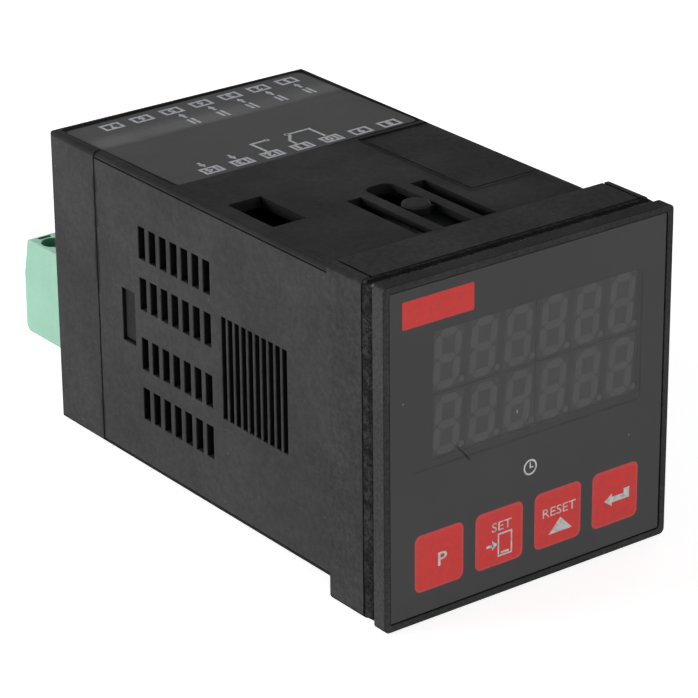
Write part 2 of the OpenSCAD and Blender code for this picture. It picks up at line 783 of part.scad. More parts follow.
// Board that carries the terminal headers, with a hole for each header pin
module terminal_board() {
    color("#12331f") difference() {
        prism_y(terminal_board_y, header_base_y) square(terminal_board_w, center = true);
        for (x = pin_x, z = header_z) translate([x, 0, z])
            prism_y(terminal_board_y - 1, header_base_y + 1) square(pin_w + 0.1, center = true);
    }
}

// Potted mains transformer
module transformer() {
    color("#20242c") translate([part_x - transformer_w / 2, transformer_y0 + transformer_len / 2, 0])
        prism_z(-board_z, -board_z + transformer_h) rounded_rect(transformer_w, transformer_len, 1.2);
}

// Sealed relay that switches the output
module output_relay() {
    color("#2a55a0") translate([relay_x0 + relay_w / 2, relay_y0 + relay_len / 2, 0])
        prism_z(-board_z, -board_z + relay_h) rounded_rect(relay_w, relay_len, 0.8);
}

module filter_capacitor() {
    color("#1c2a4a")
        translate([-part_x + capacitor_d / 2, transformer_y0 + transformer_len * 2 / 3, -board_z])
        can(capacitor_d, capacitor_h);
}

module bridge_rectifier() {
    color("#26262a") translate([-part_x + capacitor_d / 2, transformer_y0 + transformer_len / 4, -board_z])
        chip(rectifier_w, rectifier_len, rectifier_h, 2);
}

// Regulator standing on its legs, with its metal tab behind it
module voltage_regulator() {
    w = 10;
    foot = 3;
    body_h = 9;
    body_t = 3.2;
    tab_h = 15;
    tab_t = 1.3;
    leg_w = 0.8;
    leg_t = 0.6;
    color("#26262a") translate([side_x + w / 2, relay_y0 + 4, -board_z]) {
        box([-w / 2, -body_t / 2, foot], [w / 2, body_t / 2, foot + body_h]);
        box([-w / 2, body_t / 2 - eps, foot], [w / 2, body_t / 2 + tab_t, foot + tab_h]);
        for (x = [-strip_pitch, 0, strip_pitch])
            box([x - leg_w / 2, -leg_t / 2, 0], [x + leg_w / 2, leg_t / 2, foot + eps]);
    }
}

// Disc that takes up surges from the mains
module varistor() {
    d = 9;
    t = 3.6;
    foot = 1.5;
    leg_w = 0.7;
    leg_x = 2.5;
    color("#2f63b5") translate([side_x + d / 2 + 0.5, relay_y0 + 11, -board_z]) {
        prism_y(-t / 2, t / 2) translate([0, d / 2 + foot]) circle(d = d);
        for (x = [-leg_x, leg_x])
            box([x - leg_w / 2, -leg_w / 2, 0], [x + leg_w / 2, leg_w / 2, foot + d / 8]);
    }
}

// What hangs from the control board is drawn standing and turned over
module under_control_board(x, y) {
    translate([x, y, board_z]) rotate([0, 180, 0]) children();
}

module microcontroller() {
    color("#26262a") under_control_board(0, controller_y)
        chip(controller_w, controller_w, controller_h, 11, all_sides = true);
}
module memory_chip() {
    color("#26262a") under_control_board(memory_x, memory_y) chip(memory_w, memory_len, memory_h, 4);
}
module crystal() {
    color("#b9bcc0") under_control_board(crystal_x, controller_y)
        prism_z(0, crystal_h) rounded_rect(crystal_w, crystal_len, crystal_w / 2 - 0.1);
}
module optocoupler(x) {
    color("#26262a") under_control_board(x, coupler_y) chip(coupler_w, coupler_len, coupler_h, 2);
}
module start_optocoupler() { optocoupler(-coupler_x); }
module reset_optocoupler() { optocoupler(coupler_x); }

// Pin strip at the front end of the power board, whose pins meet the display board
module front_strip() {
    pin_z = -board_z + strip_w / 2;
    color("#222224") {
        box([-strip_pins * strip_pitch / 2, strip_y0, -board_z],
            [strip_pins * strip_pitch / 2, strip_y0 + strip_w, -board_z + strip_w]);
        for (i = [0 : strip_pins - 1]) translate([(i - (strip_pins - 1) / 2) * strip_pitch, 0, pin_z])
            prism_y(display_back_y, board_y0 + 1) square(strip_pin_w, center = true);
    }
}
module front_power_strip() { front_strip(); }
module front_control_strip() { rotate([0, 180, 0]) front_strip(); }

// Pin strip at the rear end of the power board, whose pins meet the terminal board
module rear_strip() {
    pin_z = -board_z + strip_w / 2;
    color("#222224") {
        box([-strip_pins * strip_pitch / 2, strip_y1 - strip_w, -board_z],
            [strip_pins * strip_pitch / 2, strip_y1, -board_z + strip_w]);
        for (i = [0 : strip_pins - 1]) translate([(i - (strip_pins - 1) / 2) * strip_pitch, 0, pin_z])
            prism_y(board_y1 - 1, terminal_board_y) square(strip_pin_w, center = true);
    }
}
module rear_power_strip() { rear_strip(); }
module rear_control_strip() { rotate([0, 180, 0]) rear_strip(); }

// A header in place: a box open to the rear, with a hole for each pin in its floor
module terminal_header(z) {
    color("#3f9f72") translate([0, 0, z]) difference() {
        prism_y(header_base_y, header_mouth_y) square([header_w, header_h], center = true);
        prism_y(header_base_y + header_floor, header_mouth_y + 1)
            square([header_w - 2 * header_t, header_h - 2 * header_t], center = true);
        for (x = pin_x) translate([x, 0, 0]) prism_y(header_base_y - 1, header_mouth_y)
            square(pin_w + 0.1, center = true);
    }
}
module lower_header() { terminal_header(header_z[0]); }
module upper_header() { terminal_header(header_z[1]); }

// The pins of a header, soldered in the terminal board
module header_pins(z) {
    color("#c9c9c4") for (x = pin_x) translate([x, 0, z])
        prism_y(terminal_board_y - pin_tail, pin_y1) square(pin_w, center = true);
}
module lower_header_pins() { header_pins(header_z[0]); }
module upper_header_pins() { header_pins(header_z[1]); }

// Side outline of the plug, in y and z
module plug_outline() {
    lean_y = 1.3;
    lean_z = 5.5;
    foot = 0.7;
    polygon([[plug_y0, plug_top], [plug_y1 - lean_y, plug_top], [plug_y1 - 0.1, plug_top - lean_z],
             [plug_y1, plug_bottom + foot], [plug_y1 - foot, plug_bottom], [plug_y0, plug_bottom]]);
}

// The plug: body and nose, and for each pole a screw hole, a cage pocket, a wire entry and a contact slot
module terminal_plug() {
    nose_w = header_w - 2 * header_t - 2 * nose_fit;
    probe_w = 2.2;
    probe_back = 1.9;
    color("#7fc79f") difference() {
        union() {
            prism_x(-row_w / 2, row_w / 2) plug_outline();
            translate([0, 0, nose_z])
                prism_y(nose_y0, plug_y0 + eps) square([nose_w, nose_h], center = true);
        }
        for (x = pin_x) translate([x, 0, 0]) {
            translate([0, screw_y, 0]) {
                prism_z(cage_z1 - 1, plug_top + 1) circle(d = screw_hole_d);
                box([-cage_w / 2 - part_fit, -cage_len / 2 - part_fit, cage_z0 - part_fit],
                    [cage_w / 2 + part_fit, cage_len / 2 + part_fit, cage_z1 + part_fit]);
            }
            box([-entry_w / 2, screw_y, entry_z - entry_h / 2],
                [entry_w / 2, plug_y1 + 1, entry_z + entry_h / 2]);
            box([-contact_w / 2 - part_fit, nose_y0 - 1, nose_z - contact_w / 2 - part_fit],
                [contact_w / 2 + part_fit, screw_y, nose_z + contact_w / 2 + part_fit]);
            box([-probe_w / 2, plug_y1 - probe_back - 0.5, plug_top - 2],
                [probe_w / 2, plug_y1 - probe_back + 0.3, plug_top + 1]);
        }
    }
}

// The terminal screws, with a slot in each head, down to the wire entries
module terminal_screws() {
    head_h = 2.2;
    head_z = plug_top - 1.4;
    tip_z = entry_z + entry_h / 2 - 0.4;
    slot_w = 0.7;
    color("#d3d3cf") for (x = pin_x) translate([x, screw_y, 0]) difference() {
        union() {
            prism_z(head_z - head_h, head_z) circle(d = screw_head_d);
            prism_z(tip_z, head_z - head_h + eps) circle(d = screw_d);
        }
        box([-screw_head_d, -slot_w / 2, head_z - 1], [screw_head_d, slot_w / 2, head_z + 1]);
    }
}

// The clamp cages that a wire goes into, with the threaded hole of the screw
module clamp_cages() {
    color("#c9c9c4") for (x = pin_x) translate([x, screw_y, 0]) difference() {
        box([-cage_w / 2, -cage_len / 2, cage_z0], [cage_w / 2, cage_len / 2, cage_z1]);
        box([-cage_w / 2 + cage_t, -cage_len, cage_z0 + cage_t],
            [cage_w / 2 - cage_t, cage_len, cage_z1 - 2 * cage_t]);
        prism_z(cage_z1 - 2 * cage_t - 1, cage_z1 + 1) circle(d = screw_d + 0.1);
    }
}

// The plug's contacts: a sleeve round each header pin and a bar into the cage
module plug_contacts() {
    sleeve_y1 = pin_y1 + 1;
    bar_w = 1.8;
    color("#c9a94e") for (x = pin_x) translate([x, 0, nose_z]) {
        prism_y(nose_y0 + 0.3, sleeve_y1) difference() {
            square(contact_w, center = true);
            square(contact_bore, center = true);
        }
        box([-bar_w / 2, sleeve_y1 - 1, -contact_w / 2],
            [bar_w / 2, screw_y + cage_len / 2, -contact_bore / 2]);
    }
}

front_bezel();
front_film();
panel_gasket();
retaining_frame();
main_housing();
side_cover();
rear_cover();
rating_label();
display_board();
upper_display_left();
upper_display_right();
lower_display_left();
lower_display_right();
program_key_switch();
set_key_switch();
reset_key_switch();
enter_key_switch();
program_key_plunger();
set_key_plunger();
reset_key_plunger();
enter_key_plunger();
display_driver();
power_board();
control_board();
terminal_board();
transformer();
output_relay();
filter_capacitor();
bridge_rectifier();
voltage_regulator();
varistor();
microcontroller();
memory_chip();
crystal();
start_optocoupler();
reset_optocoupler();
front_power_strip();
front_control_strip();
rear_power_strip();
rear_control_strip();
lower_header();
upper_header();
lower_header_pins();
upper_header_pins();
terminal_plug();
terminal_screws();
clamp_cages();
plug_contacts();
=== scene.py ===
"""Finishes, printed film, label and foam of a panel timer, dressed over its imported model."""

import logging
import math
from collections.abc import Callable, Sequence
from dataclasses import dataclass, field
from enum import IntEnum

import bmesh
import bpy
from mathutils import Matrix, Vector, noise
from mathutils.geometry import delaunay_2d_cdt


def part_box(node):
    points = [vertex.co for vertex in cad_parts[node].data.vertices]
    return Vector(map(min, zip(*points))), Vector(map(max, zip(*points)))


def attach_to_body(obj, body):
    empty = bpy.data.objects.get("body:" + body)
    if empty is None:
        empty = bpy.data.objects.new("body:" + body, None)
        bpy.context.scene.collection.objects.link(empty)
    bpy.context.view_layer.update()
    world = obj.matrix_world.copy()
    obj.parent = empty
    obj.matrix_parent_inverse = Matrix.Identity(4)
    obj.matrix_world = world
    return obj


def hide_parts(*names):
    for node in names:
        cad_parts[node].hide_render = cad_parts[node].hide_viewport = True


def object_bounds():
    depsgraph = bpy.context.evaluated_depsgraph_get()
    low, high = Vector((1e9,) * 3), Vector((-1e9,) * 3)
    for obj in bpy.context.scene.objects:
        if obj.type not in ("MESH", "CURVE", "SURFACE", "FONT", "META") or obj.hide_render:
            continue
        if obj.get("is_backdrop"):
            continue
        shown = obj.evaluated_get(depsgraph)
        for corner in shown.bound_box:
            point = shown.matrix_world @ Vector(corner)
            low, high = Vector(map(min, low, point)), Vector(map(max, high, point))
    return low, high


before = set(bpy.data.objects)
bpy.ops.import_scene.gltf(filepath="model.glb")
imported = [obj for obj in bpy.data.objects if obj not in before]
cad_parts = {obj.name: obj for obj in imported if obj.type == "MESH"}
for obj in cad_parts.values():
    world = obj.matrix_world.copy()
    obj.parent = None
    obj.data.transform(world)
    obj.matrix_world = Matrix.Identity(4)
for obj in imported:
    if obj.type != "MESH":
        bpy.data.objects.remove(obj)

MM = 0.001
FLOAT = "NodeSocketFloat"
SOFT_ANGLE = math.radians(35)
WHITE = (1.0, 1.0, 1.0)
# Side that the lamps light from: edges that turn towards it get painted light and shade of their own.
LIT_SIDE = (-0.7, -0.7, 0.0)

Triple = tuple[float, float, float]
Colour = Triple
Flat = tuple[float, float]
Placer = Callable[[float, float], Vector]
Material = bpy.types.Material
Piece = bpy.types.Object
Socket = bpy.types.NodeSocket
Sockets = bpy.types.bpy_prop_collection
Effects = dict[str, bpy.types.NodeTree]
Palette = dict[str, Material]

log = logging.getLogger("timer")


@dataclass(frozen=True)
class RoundedRect:
    """A rectangle with round corners on a plane, with its centre x and y and its sizes in metres."""

    x: float
    y: float
    width: float
    height: float
    radius: float

    def outline(self, inset: float = 0.0, steps: int = 8) -> list[Flat]:
        """Points round the edge, anticlockwise.

        Args:
            inset: How far inside the edge the points run.
            steps: Straight pieces in each round corner.

        Returns:
            The points, the same number for every inset.
        """
        radius = max(self.radius - inset, 0.1 * self.radius)
        reach_x = self.width / 2 - inset - radius
        reach_y = self.height / 2 - inset - radius
        points = []
        for corner, (side_x, side_y) in enumerate(((1, 1), (-1, 1), (-1, -1), (1, -1))):
            for step in range(steps + 1):
                angle = math.radians(90 * (corner + step / steps))
                points.append((self.x + side_x * reach_x + radius * math.cos(angle),
                               self.y + side_y * reach_y + radius * math.sin(angle)))
        return points

    def holds(self, x: float, y: float) -> bool:
        """Whether a point of the plane lies inside the edge."""
        over_x = max(abs(x - self.x) - self.width / 2 + self.radius, 0)
        over_y = max(abs(y - self.y) - self.height / 2 + self.radius, 0)
        return math.hypot(over_x, over_y) <= self.radius


def rect_mm(*sizes: float) -> RoundedRect:
    """A rounded rectangle from its place, sizes and radius in millimetres."""
    return RoundedRect(*(size * MM for size in sizes))


class MeshDraft:
    """Points and faces that are gathered for one mesh."""

    def __init__(self) -> None:
        """Starts with nothing in it."""
        self.points: list[Vector] = []
        self.faces: list[tuple[int, ...]] = []
        self.slots: list[int] = []
        self.soft: list[bool] = []

    def ring(self, points: Sequence[Vector]) -> list[int]:
        """Adds points and gives their numbers."""
        start = len(self.points)
        self.points.extend(points)
        return list(range(start, len(self.points)))

    def face(self, corners: Sequence[int], slot: int = 0, soft: bool = False) -> None:
        """Adds one face with a material slot, flat or softly shaded."""
        self.faces.append(tuple(corners))
        self.slots.append(slot)
        self.soft.append(soft)

    def bridge(self, first: Sequence[int], second: Sequence[int], slot: int = 0) -> None:
        """Joins two closed rings with as many points by a band of quads."""
        count = len(first)
        for here in range(count):
            after = (here + 1) % count
            self.face((first[here], first[after], second[after], second[here]), slot, True)

    def skin(self, rings: Sequence[Sequence[Flat]], loose: Sequence[Flat], place: Placer,
             slot_at: Callable[[float, float], int | None], soft: bool = False) -> None:
        """Fills a plane inside closed outlines with triangles.

        Args:
            rings: Closed outlines that edges of the triangles follow.
            loose: Points inside that the triangles use as well.
            place: Turns a point of the plane into a point in space.
            slot_at: Material slot at a point of the plane, or None for a hole.
            soft: Whether the triangles are shaded as one soft surface.
        """
        flat = [Vector(point) for ring in rings for point in ring]
        edges = []
        start = 0
        for ring in rings:
            count = len(ring)
            edges += [(start + here, start + (here + 1) % count) for here in range(count)]
            start += count
        flat += [Vector(point) for point in loose]
        corners, _, triangles, *_ = delaunay_2d_cdt(flat, edges, [], 1, 1e-8)
        numbers = self.ring([place(point.x, point.y) for point in corners])
        for triangle in triangles:
            middle = sum((corners[corner] for corner in triangle), Vector((0, 0))) / len(triangle)
            slot = slot_at(middle.x, middle.y)
            if slot is not None:
                self.face([numbers[corner] for corner in triangle], slot, soft)

    def piece(self, name: str, materials: Sequence[Material], closed: bool = True) -> Piece:
        """Makes the object.

        Args:
            name: Name of the object and its mesh.
            materials: One for each slot that the faces use.
            closed: Whether the faces enclose a volume, so that they are turned outwards.

        Returns:
            The object, linked to the scene.
        """
        mesh = bpy.data.meshes.new(name)
        mesh.from_pydata([tuple(point) for point in self.points], [], self.faces)
        for material in materials:
            mesh.materials.append(material)
        mesh.polygons.foreach_set("material_index", self.slots)
        mesh.polygons.foreach_set("use_smooth", self.soft)
        form = bmesh.new()
        form.from_mesh(mesh)
        bmesh.ops.remove_doubles(form, verts=form.verts, dist=1e-7)
        if closed:
            bmesh.ops.recalc_face_normals(form, faces=form.faces)
        for edge in form.edges:
            edge.smooth = edge.is_manifold and edge.calc_face_angle(0.0) < SOFT_ANGLE
        form.to_mesh(mesh)
        form.free()
        return link(bpy.data.objects.new(name, mesh))


def link(thing: Piece) -> Piece:
    """Links an object to the scene."""
    bpy.context.scene.collection.objects.link(thing)
    return thing


def shade(value: float) -> Colour:
    """A neutral grey of that reflectance."""
    return (value, value, value)


def scaled(colour: Colour, factor: float) -> Colour:
    """A colour made lighter or darker."""
    return (colour[0] * factor, colour[1] * factor, colour[2] * factor)


class Net:
    """Places the nodes of one shader tree and joins them."""

    def __init__(self, tree: bpy.types.NodeTree) -> None:
        """Starts on a tree that may have nodes in it."""
        self.tree = tree

    def feed(self, socket: Socket, value: object) -> None:
        """Links a socket to an output, or sets the value that it keeps."""
        if isinstance(value, Socket):
            self.tree.links.new(value, socket)
        elif socket.type == "RGBA":
            socket.default_value = (*value, 1.0)
        else:
            socket.default_value = value

    def add(self, kind: str, inputs: dict[str | int, object] | None = None, **settings: object) -> Sockets:
        """Adds a node.

        Args:
            kind: Blender's name for the node type, without its first word.
            inputs: What each input socket is given.
            settings: Options of the node.

        Returns:
            The outputs of the node.
        """
        node = self.tree.nodes.new("ShaderNode" + kind)
        for name, value in settings.items():
            setattr(node, name, value)
        for name, value in (inputs or {}).items():
            self.feed(node.inputs[name], value)
        return node.outputs

    def group(self, effect: bpy.types.NodeTree, inputs: dict[str, object] | None = None) -> Sockets:
        """Adds a shared effect with its own values and gives its outputs."""
        return self.add("Group", inputs, node_tree=effect)

    def grain(self, effects: Effects, fine: float, broad: float, speckle: float = 1100.0) -> Sockets:
        """Adds the surface grain with the scales of its three parts."""
        return self.group(effects["grain"], {"Grain Scale": fine, "Speckle Scale": speckle,
                                             "Mottle Scale": broad})

    def calc(self, operation: str, first: object, second: object = 0.0) -> Socket:
        """One step of arithmetic."""
        return self.add("Math", {0: first, 1: second}, operation=operation)[0]

    def times(self, first: object, *others: object) -> Socket:
        """The product of all the values."""
        for other in others:
            first = self.calc("MULTIPLY", first, other)
        return first

    def plus(self, first: object, second: object) -> Socket:
        """The sum of two values."""
        return self.calc("ADD", first, second)

    def under(self, value: object, limit: float) -> Socket:
        """One where a value is below a limit, and nought elsewhere."""
        return self.calc("LESS_THAN", value, limit)

    def dot(self, first: object, second: object) -> Socket:
        """The dot product of two vectors."""
        return self.add("VectorMath", {0: first, 1: second}, operation="DOT_PRODUCT")["Value"]

    def size(self, value: object) -> Socket:
        """A value without its sign."""
        return self.calc("ABSOLUTE", value)

    def remap(self, value: object, start: float, end: float, low: float = 0.0, high: float = 1.0) -> Socket:
        """Turns a range of values into another one, with smooth ends."""
        inputs = {"Value": value, "From Min": start, "From Max": end, "To Min": low, "To Max": high}
        return self.add("MapRange", inputs, interpolation_type="SMOOTHSTEP")[0]

    def ramp(self, mask: object, low: float, high: float) -> Socket:
        """A straight line from one value where the mask is nought to another where it is one."""
        return self.add("MapRange", {"Value": mask, "To Min": low, "To Max": high})[0]

    def blend(self, share: object, first: object, second: object) -> Socket:
        """Mixes two colours."""
        return self.add("Mix", {0: share, 6: first, 7: second}, data_type="RGBA")[2]

    def varied(self, share: object, colour: Colour, low: float, high: float) -> Socket:
        """A colour that goes from one strength to another."""
        return self.blend(share, scaled(colour, low), scaled(colour, high))

    def shaded(self, colour: object, *factors: object) -> Socket:
        """A colour multiplied by every one of the factors."""
        return self.add("VectorMath", {0: colour, "Scale": self.times(*factors)}, operation="SCALE")[0]

    def noise(self, vector: object, scale: object, detail: float, roughness: float) -> Socket:
        """A cloudy value around one half."""
        inputs = {"Vector": vector, "Scale": scale, "Detail": detail, "Roughness": roughness}
        return self.add("TexNoise", inputs)[0]

    def place(self) -> Socket:
        """Coordinates of the object, which are the frame's, in metres."""
        return self.add("TexCoord")["Object"]

    def normal(self) -> Socket:
        """The way that the surface faces."""
        return self.add("NewGeometry")["Normal"]

    def axes(self, vector: Socket) -> tuple[Socket, ...]:
        """A vector's three numbers."""
        return tuple(self.add("SeparateXYZ", {0: vector}))

    def chance(self, cells: Sockets) -> Socket:
        """A number that each cell has for itself."""
        return self.add("SeparateColor", {0: cells["Color"]})[0]

    def seen(self) -> Socket:
        """One for what the camera sees, straight, mirrored or through something clear."""
        rays = self.add("LightPath")
        mirrored = self.calc("MAXIMUM", rays["Is Glossy Ray"], rays["Is Transmission Ray"])
        return self.calc("MAXIMUM", rays["Is Camera Ray"], mirrored)


class Surface(Net):
    """The net of one material, round its shader."""

    def __init__(self, name: str, roughness: float, specular: float, metallic: float = 0.0) -> None:
        """Starts a material with its uniform values."""
        self.material = bpy.data.materials.new(name)
        self.material.use_nodes = True
        super().__init__(self.material.node_tree)
        self.shader = self.tree.nodes["Principled BSDF"]
        self.keep(Roughness=roughness, Specular_IOR_Level=specular, Metallic=metallic)

    def keep(self, **values: object) -> None:
        """Sets values on the shader's own sockets, named with low lines for spaces."""
        for name, value in values.items():
            self.shader.inputs[name.replace("_", " ")].default_value = value

    def finish(self, colour: Socket, height: Socket, depth: float, roughness: Socket | None = None,
               normal: Socket | None = None) -> Material:
        """Links the shader to what varies.

        Args:
            colour: Base colour.
            height: Height of the relief, from nought to one.
            depth: How deep the relief is.
            roughness: Roughness, where it varies.
            normal: Normal that the relief is added to, where it isn't the surface's own.

        Returns:
            The material.
        """
        relief: dict[str | int, object] = {"Height": height, "Distance": depth}
        if normal is not None:
            relief["Normal"] = normal
        if roughness is not None:
            self.feed(self.shader.inputs["Roughness"], roughness)
        self.feed(self.shader.inputs["Base Color"], colour)
        self.feed(self.shader.inputs["Normal"], self.add("Bump", relief)[0])
        return self.material


def wire_grain(net: Net, given: Sockets) -> tuple[Socket, ...]:
    """Fine texture of a moulded or coated surface, its speckle and its broad unevenness."""
    place = net.place()
    return (net.noise(place, given["Grain Scale"], 2.0, 0.6),
            net.remap(net.noise(place, given["Speckle Scale"], 4.0, 0.8), 0.3, 0.7),
            net.remap(net.noise(place, given["Mottle Scale"], 5.0, 0.6), 0.3, 0.7))


def wire_edge(net: Net, given: Sockets) -> tuple[Socket, ...]:
    """Small rounding of sharp edges, where they are, and which of them turn towards the lamps, so that
    materials can paint light and shade on edges by the way they face.
    """
    rounded = net.add("Bevel", {"Radius": given["Radius"]}, samples=6)[0]
    flat = net.normal()
    edge = net.remap(net.dot(rounded, flat), 0.995, 0.8)
    turn = net.add("VectorMath", {0: rounded, 1: flat}, operation="SUBTRACT")[0]
    lit_edge = net.times(edge, net.remap(net.dot(turn, LIT_SIDE), 0.0, 0.15))
    return rounded, net.calc("SUBTRACT", edge, lit_edge), lit_edge


def wire_flecks(net: Net, given: Sockets) -> tuple[Socket, ...]:
    """Sparse small specks of dust."""
    cells = net.add("TexVoronoi", {"Vector": net.place(), "Scale": given["Scale"]})
    near = net.remap(net.calc("DIVIDE", cells["Distance"], given["Size"]), 1.0, 0.4)
    chosen = net.remap(net.calc("DIVIDE", net.chance(cells), given["Share"]), 1.0, 0.5)
    return (net.times(near, chosen),)


def wire_handling(net: Net, given: Sockets) -> tuple[Socket, ...]:
    """Soft stretched marks that hands leave."""
    stretched = {"Vector": net.place(), "Rotation": (0.4, 0.9, 0.3), "Scale": (1.0, 0.35, 0.7)}
    turned = net.add("Mapping", stretched)[0]
    return (net.remap(net.noise(turned, given["Scale"], 6.0, 0.7), 0.45, 0.75),)


def wire_crevice(net: Net, given: Sockets) -> tuple[Socket, ...]:
    """Narrow gaps and deep holes, which light hardly reaches, where materials paint shade."""
    return (net.remap(net.add("AmbientOcclusion", {"Distance": given["Reach"]}, samples=8)["AO"], 0.55, 0.2),)


def wire_seam(net: Net, given: Sockets) -> tuple[Socket, ...]:
    """The foot of steps and seams, where materials paint shade."""
    return (net.remap(net.add("AmbientOcclusion", {"Distance": given["Reach"]}, samples=6)["AO"], 0.88, 0.5),)


def shared_group(name: str, inputs: dict[str, float], outputs: Sequence[str],
                 wire: Callable[[Net, Sockets], tuple[Socket, ...]]) -> bpy.types.NodeTree:
    """Builds a shader node group.

    Args:
        name: Name of the group.
        inputs: Each input number and its usual value.
        outputs: Labels of the outputs. Normal is a vector, and the others are numbers.
        wire: Adds the nodes and gives what each output shows.

    Returns:
        The group.
    """
    tree = bpy.data.node_groups.new(name, "ShaderNodeTree")
    for label, value in inputs.items():
        tree.interface.new_socket(name=label, in_out="INPUT", socket_type=FLOAT).default_value = value
    for label in outputs:
        kind = "NodeSocketVector" if label == "Normal" else FLOAT
        tree.interface.new_socket(name=label, in_out="OUTPUT", socket_type=kind)
    net = Net(tree)
    shown = wire(net, tree.nodes.new("NodeGroupInput").outputs)
    ends = tree.nodes.new("NodeGroupOutput").inputs
    for label, socket in zip(outputs, shown):
        net.feed(ends[label], socket)
    return tree


def build_effects() -> Effects:
    """The shader node groups that several finishes share."""
    scales = {"Grain Scale": 3500.0, "Speckle Scale": 1100.0, "Mottle Scale": 60.0}
    dust = {"Scale": 500.0, "Size": 0.12, "Share": 0.02}
    return {
        "grain": shared_group("surface_grain", scales, ("Height", "Speckle", "Mottle"), wire_grain),
        "edge": shared_group("soft_edge", {"Radius": 0.2 * MM}, ("Normal", "Edge", "Lit Edge"), wire_edge),
        "flecks": shared_group("dust_flecks", dust, ("Mask",), wire_flecks),
        "handling": shared_group("handling_marks", {"Scale": 90.0}, ("Mask",), wire_handling),
        "crevice": shared_group("crevice", {"Reach": 12.0 * MM}, ("Mask",), wire_crevice),
        "seam": shared_group("seam_shade", {"Reach": 0.9 * MM}, ("Mask",), wire_seam),
    }


@dataclass(frozen=True)
class MouldedPlastic:
    """Injection-moulded plastic with a fine grain, softened edges and a little dust.

    Each gain is a factor on the colour where its mask is one: on edges, on edges that turn towards the lamps,
    on the case's long corners, on upper faces, in crevices, at the foot of steps, on the walls of openings
    and along the joint of the cap.
    All but the last paint light and shade: below one they paint shade, above one light. The last darkens the
    joint itself.
    """

    name: str
    colour: Colour
    roughness: float = 0.74
    specular: float = 0.055
    grain_scale: float = 3500.0
    grain_depth: float = 0.012 * MM
    mottle_scale: float = 70.0
    mottle: float = 0.10
    speckle: float = 0.05
    speckle_scale: float = 1100.0
    edge_radius: float = 0.18 * MM
    edge_gain: float = 0.6
    polish_gain: float = 1.0
    corner_gain: float = 1.0
    upper_gain: float = 1.0
    crevice_gain: float = 0.15
    seam_gain: float = 1.0
    inner_gain: float = 1.0
    joint_gain: float = 1.0
    joint: float = 0.0
    skin: Flat = (22.05 * MM, 22.2 * MM)
    deep_colour: Colour = WHITE
    fleck_share: float = 0.0
    fleck_colour: Colour = (0.10, 0.10, 0.097)
    glow: float = 0.0

    def inside(self, net: Net, facing: Sequence[Socket]) -> Socket:
        """Upright walls that lie within the case's skin and ahead of its joint, which get painted shade."""
        across, along, up = net.axes(net.place())
        return net.times(net.under(net.size(across), self.skin[0]), net.under(net.size(up), self.skin[1]),
                         net.under(along, self.joint - 1 * MM), net.under(net.size(facing[2]), 0.5))

    def joint_dirt(self, net: Net) -> Socket:
        """A dark line of uneven width along the joint."""
        place = net.place()
        away = net.size(net.calc("SUBTRACT", net.axes(place)[1], self.joint))
        reach = net.remap(net.noise(place, 260.0, 3.0, 0.6), 0.35, 0.65, 0.25 * MM, 0.75 * MM)
        return net.remap(net.calc("DIVIDE", away, reach), 1.0, 0.4)

    def material(self, effects: Effects) -> Material:
        """Builds the material."""
        net = Surface(self.name, self.roughness, self.specular)
        grain = net.grain(effects, self.grain_scale, self.mottle_scale, self.speckle_scale)
        edge = net.group(effects["edge"], {"Radius": self.edge_radius})
        worn = net.group(effects["handling"], {"Scale": 1.3 * self.mottle_scale})["Mask"]
        crevice = net.group(effects["crevice"])["Mask"]
        facing = net.axes(net.normal())
        colour = net.varied(grain["Mottle"], self.colour, 1 - self.mottle, 1 + self.mottle)
        colour = net.blend(net.times(worn, 0.5), colour, scaled(self.colour, 1 + 1.6 * self.mottle))
        if self.fleck_share:
            flecks = net.group(effects["flecks"], {"Scale": 900.0, "Size": 0.12, "Share": self.fleck_share})
            colour = net.blend(flecks["Mask"], colour, self.fleck_colour)
        # A darker colour in crevices: painted shade.
        if self.deep_colour != WHITE:
            colour = net.blend(crevice, colour, self.deep_colour)
        masks = (
            # Edges: painted shade where the gain is below one, a painted highlight where it is above.
            (self.edge_gain, lambda: edge["Edge"]),
            # Edges turned towards the lamps: a painted highlight where the gain is above one, painted shade
            # where it is below.
            (self.polish_gain, lambda: edge["Lit Edge"]),
            # Long rounded corners between top and side: painted shade.
            (self.corner_gain, lambda: net.remap(net.size(net.times(facing[0], facing[2])), 0.1, 0.42)),
            # Upper faces: painted light where the gain is above one, painted shade where it is below.
            (self.upper_gain, lambda: net.remap(facing[2], 0.6, 0.95)),
            # Crevices: painted shade.
            (self.crevice_gain, lambda: crevice),
            # Foot of steps and seams: painted shade.
            (self.seam_gain, lambda: net.group(effects["seam"])["Mask"]),
            # Walls of openings: painted shade.
            (self.inner_gain, lambda: self.inside(net, facing)),
            (self.joint_gain, lambda: self.joint_dirt(net)),
        )
        factors = [net.ramp(grain["Speckle"], 1 - self.speckle, 1 + self.speckle)]
        factors += [net.ramp(mask(), 1.0, gain) for gain, mask in masks if gain != 1.0]
        if self.glow:
            net.keep(Subsurface_Weight=self.glow, Subsurface_Radius=(0.8, 1.0, 0.8),
                     Subsurface_Scale=1.2 * MM)
        roughness = net.remap(grain["Mottle"], 0, 1, self.roughness + 0.05, self.roughness - 0.05)
        return net.finish(net.shaded(colour, *factors), grain["Height"], self.grain_depth, roughness,
                          edge["Normal"])


@dataclass(frozen=True)
class CoatedFilm:
    """Plastic film printed from behind, with a fine satin grain."""

    name: str
    colour: Colour
    alpha: float = 1.0
    roughness: float = 0.5
    unevenness: float = 0.05

    def material(self, effects: Effects) -> Material:
        """Builds the material."""
        net = Surface(self.name, self.roughness, 0.16)
        grain = net.grain(effects, 6000.0, 45.0)
        marks = net.group(effects["handling"], {"Scale": 70.0})["Mask"]
        colour = net.varied(grain["Mottle"], self.colour, 1 - self.unevenness, 1 + self.unevenness)
        colour = net.blend(net.times(marks, 0.4), colour, scaled(self.colour, 1 + 2 * self.unevenness))
        net.keep(Alpha=self.alpha)
        return net.finish(colour, grain["Height"], 0.004 * MM,
                          net.remap(marks, 0, 1, self.roughness, self.roughness + 0.1))


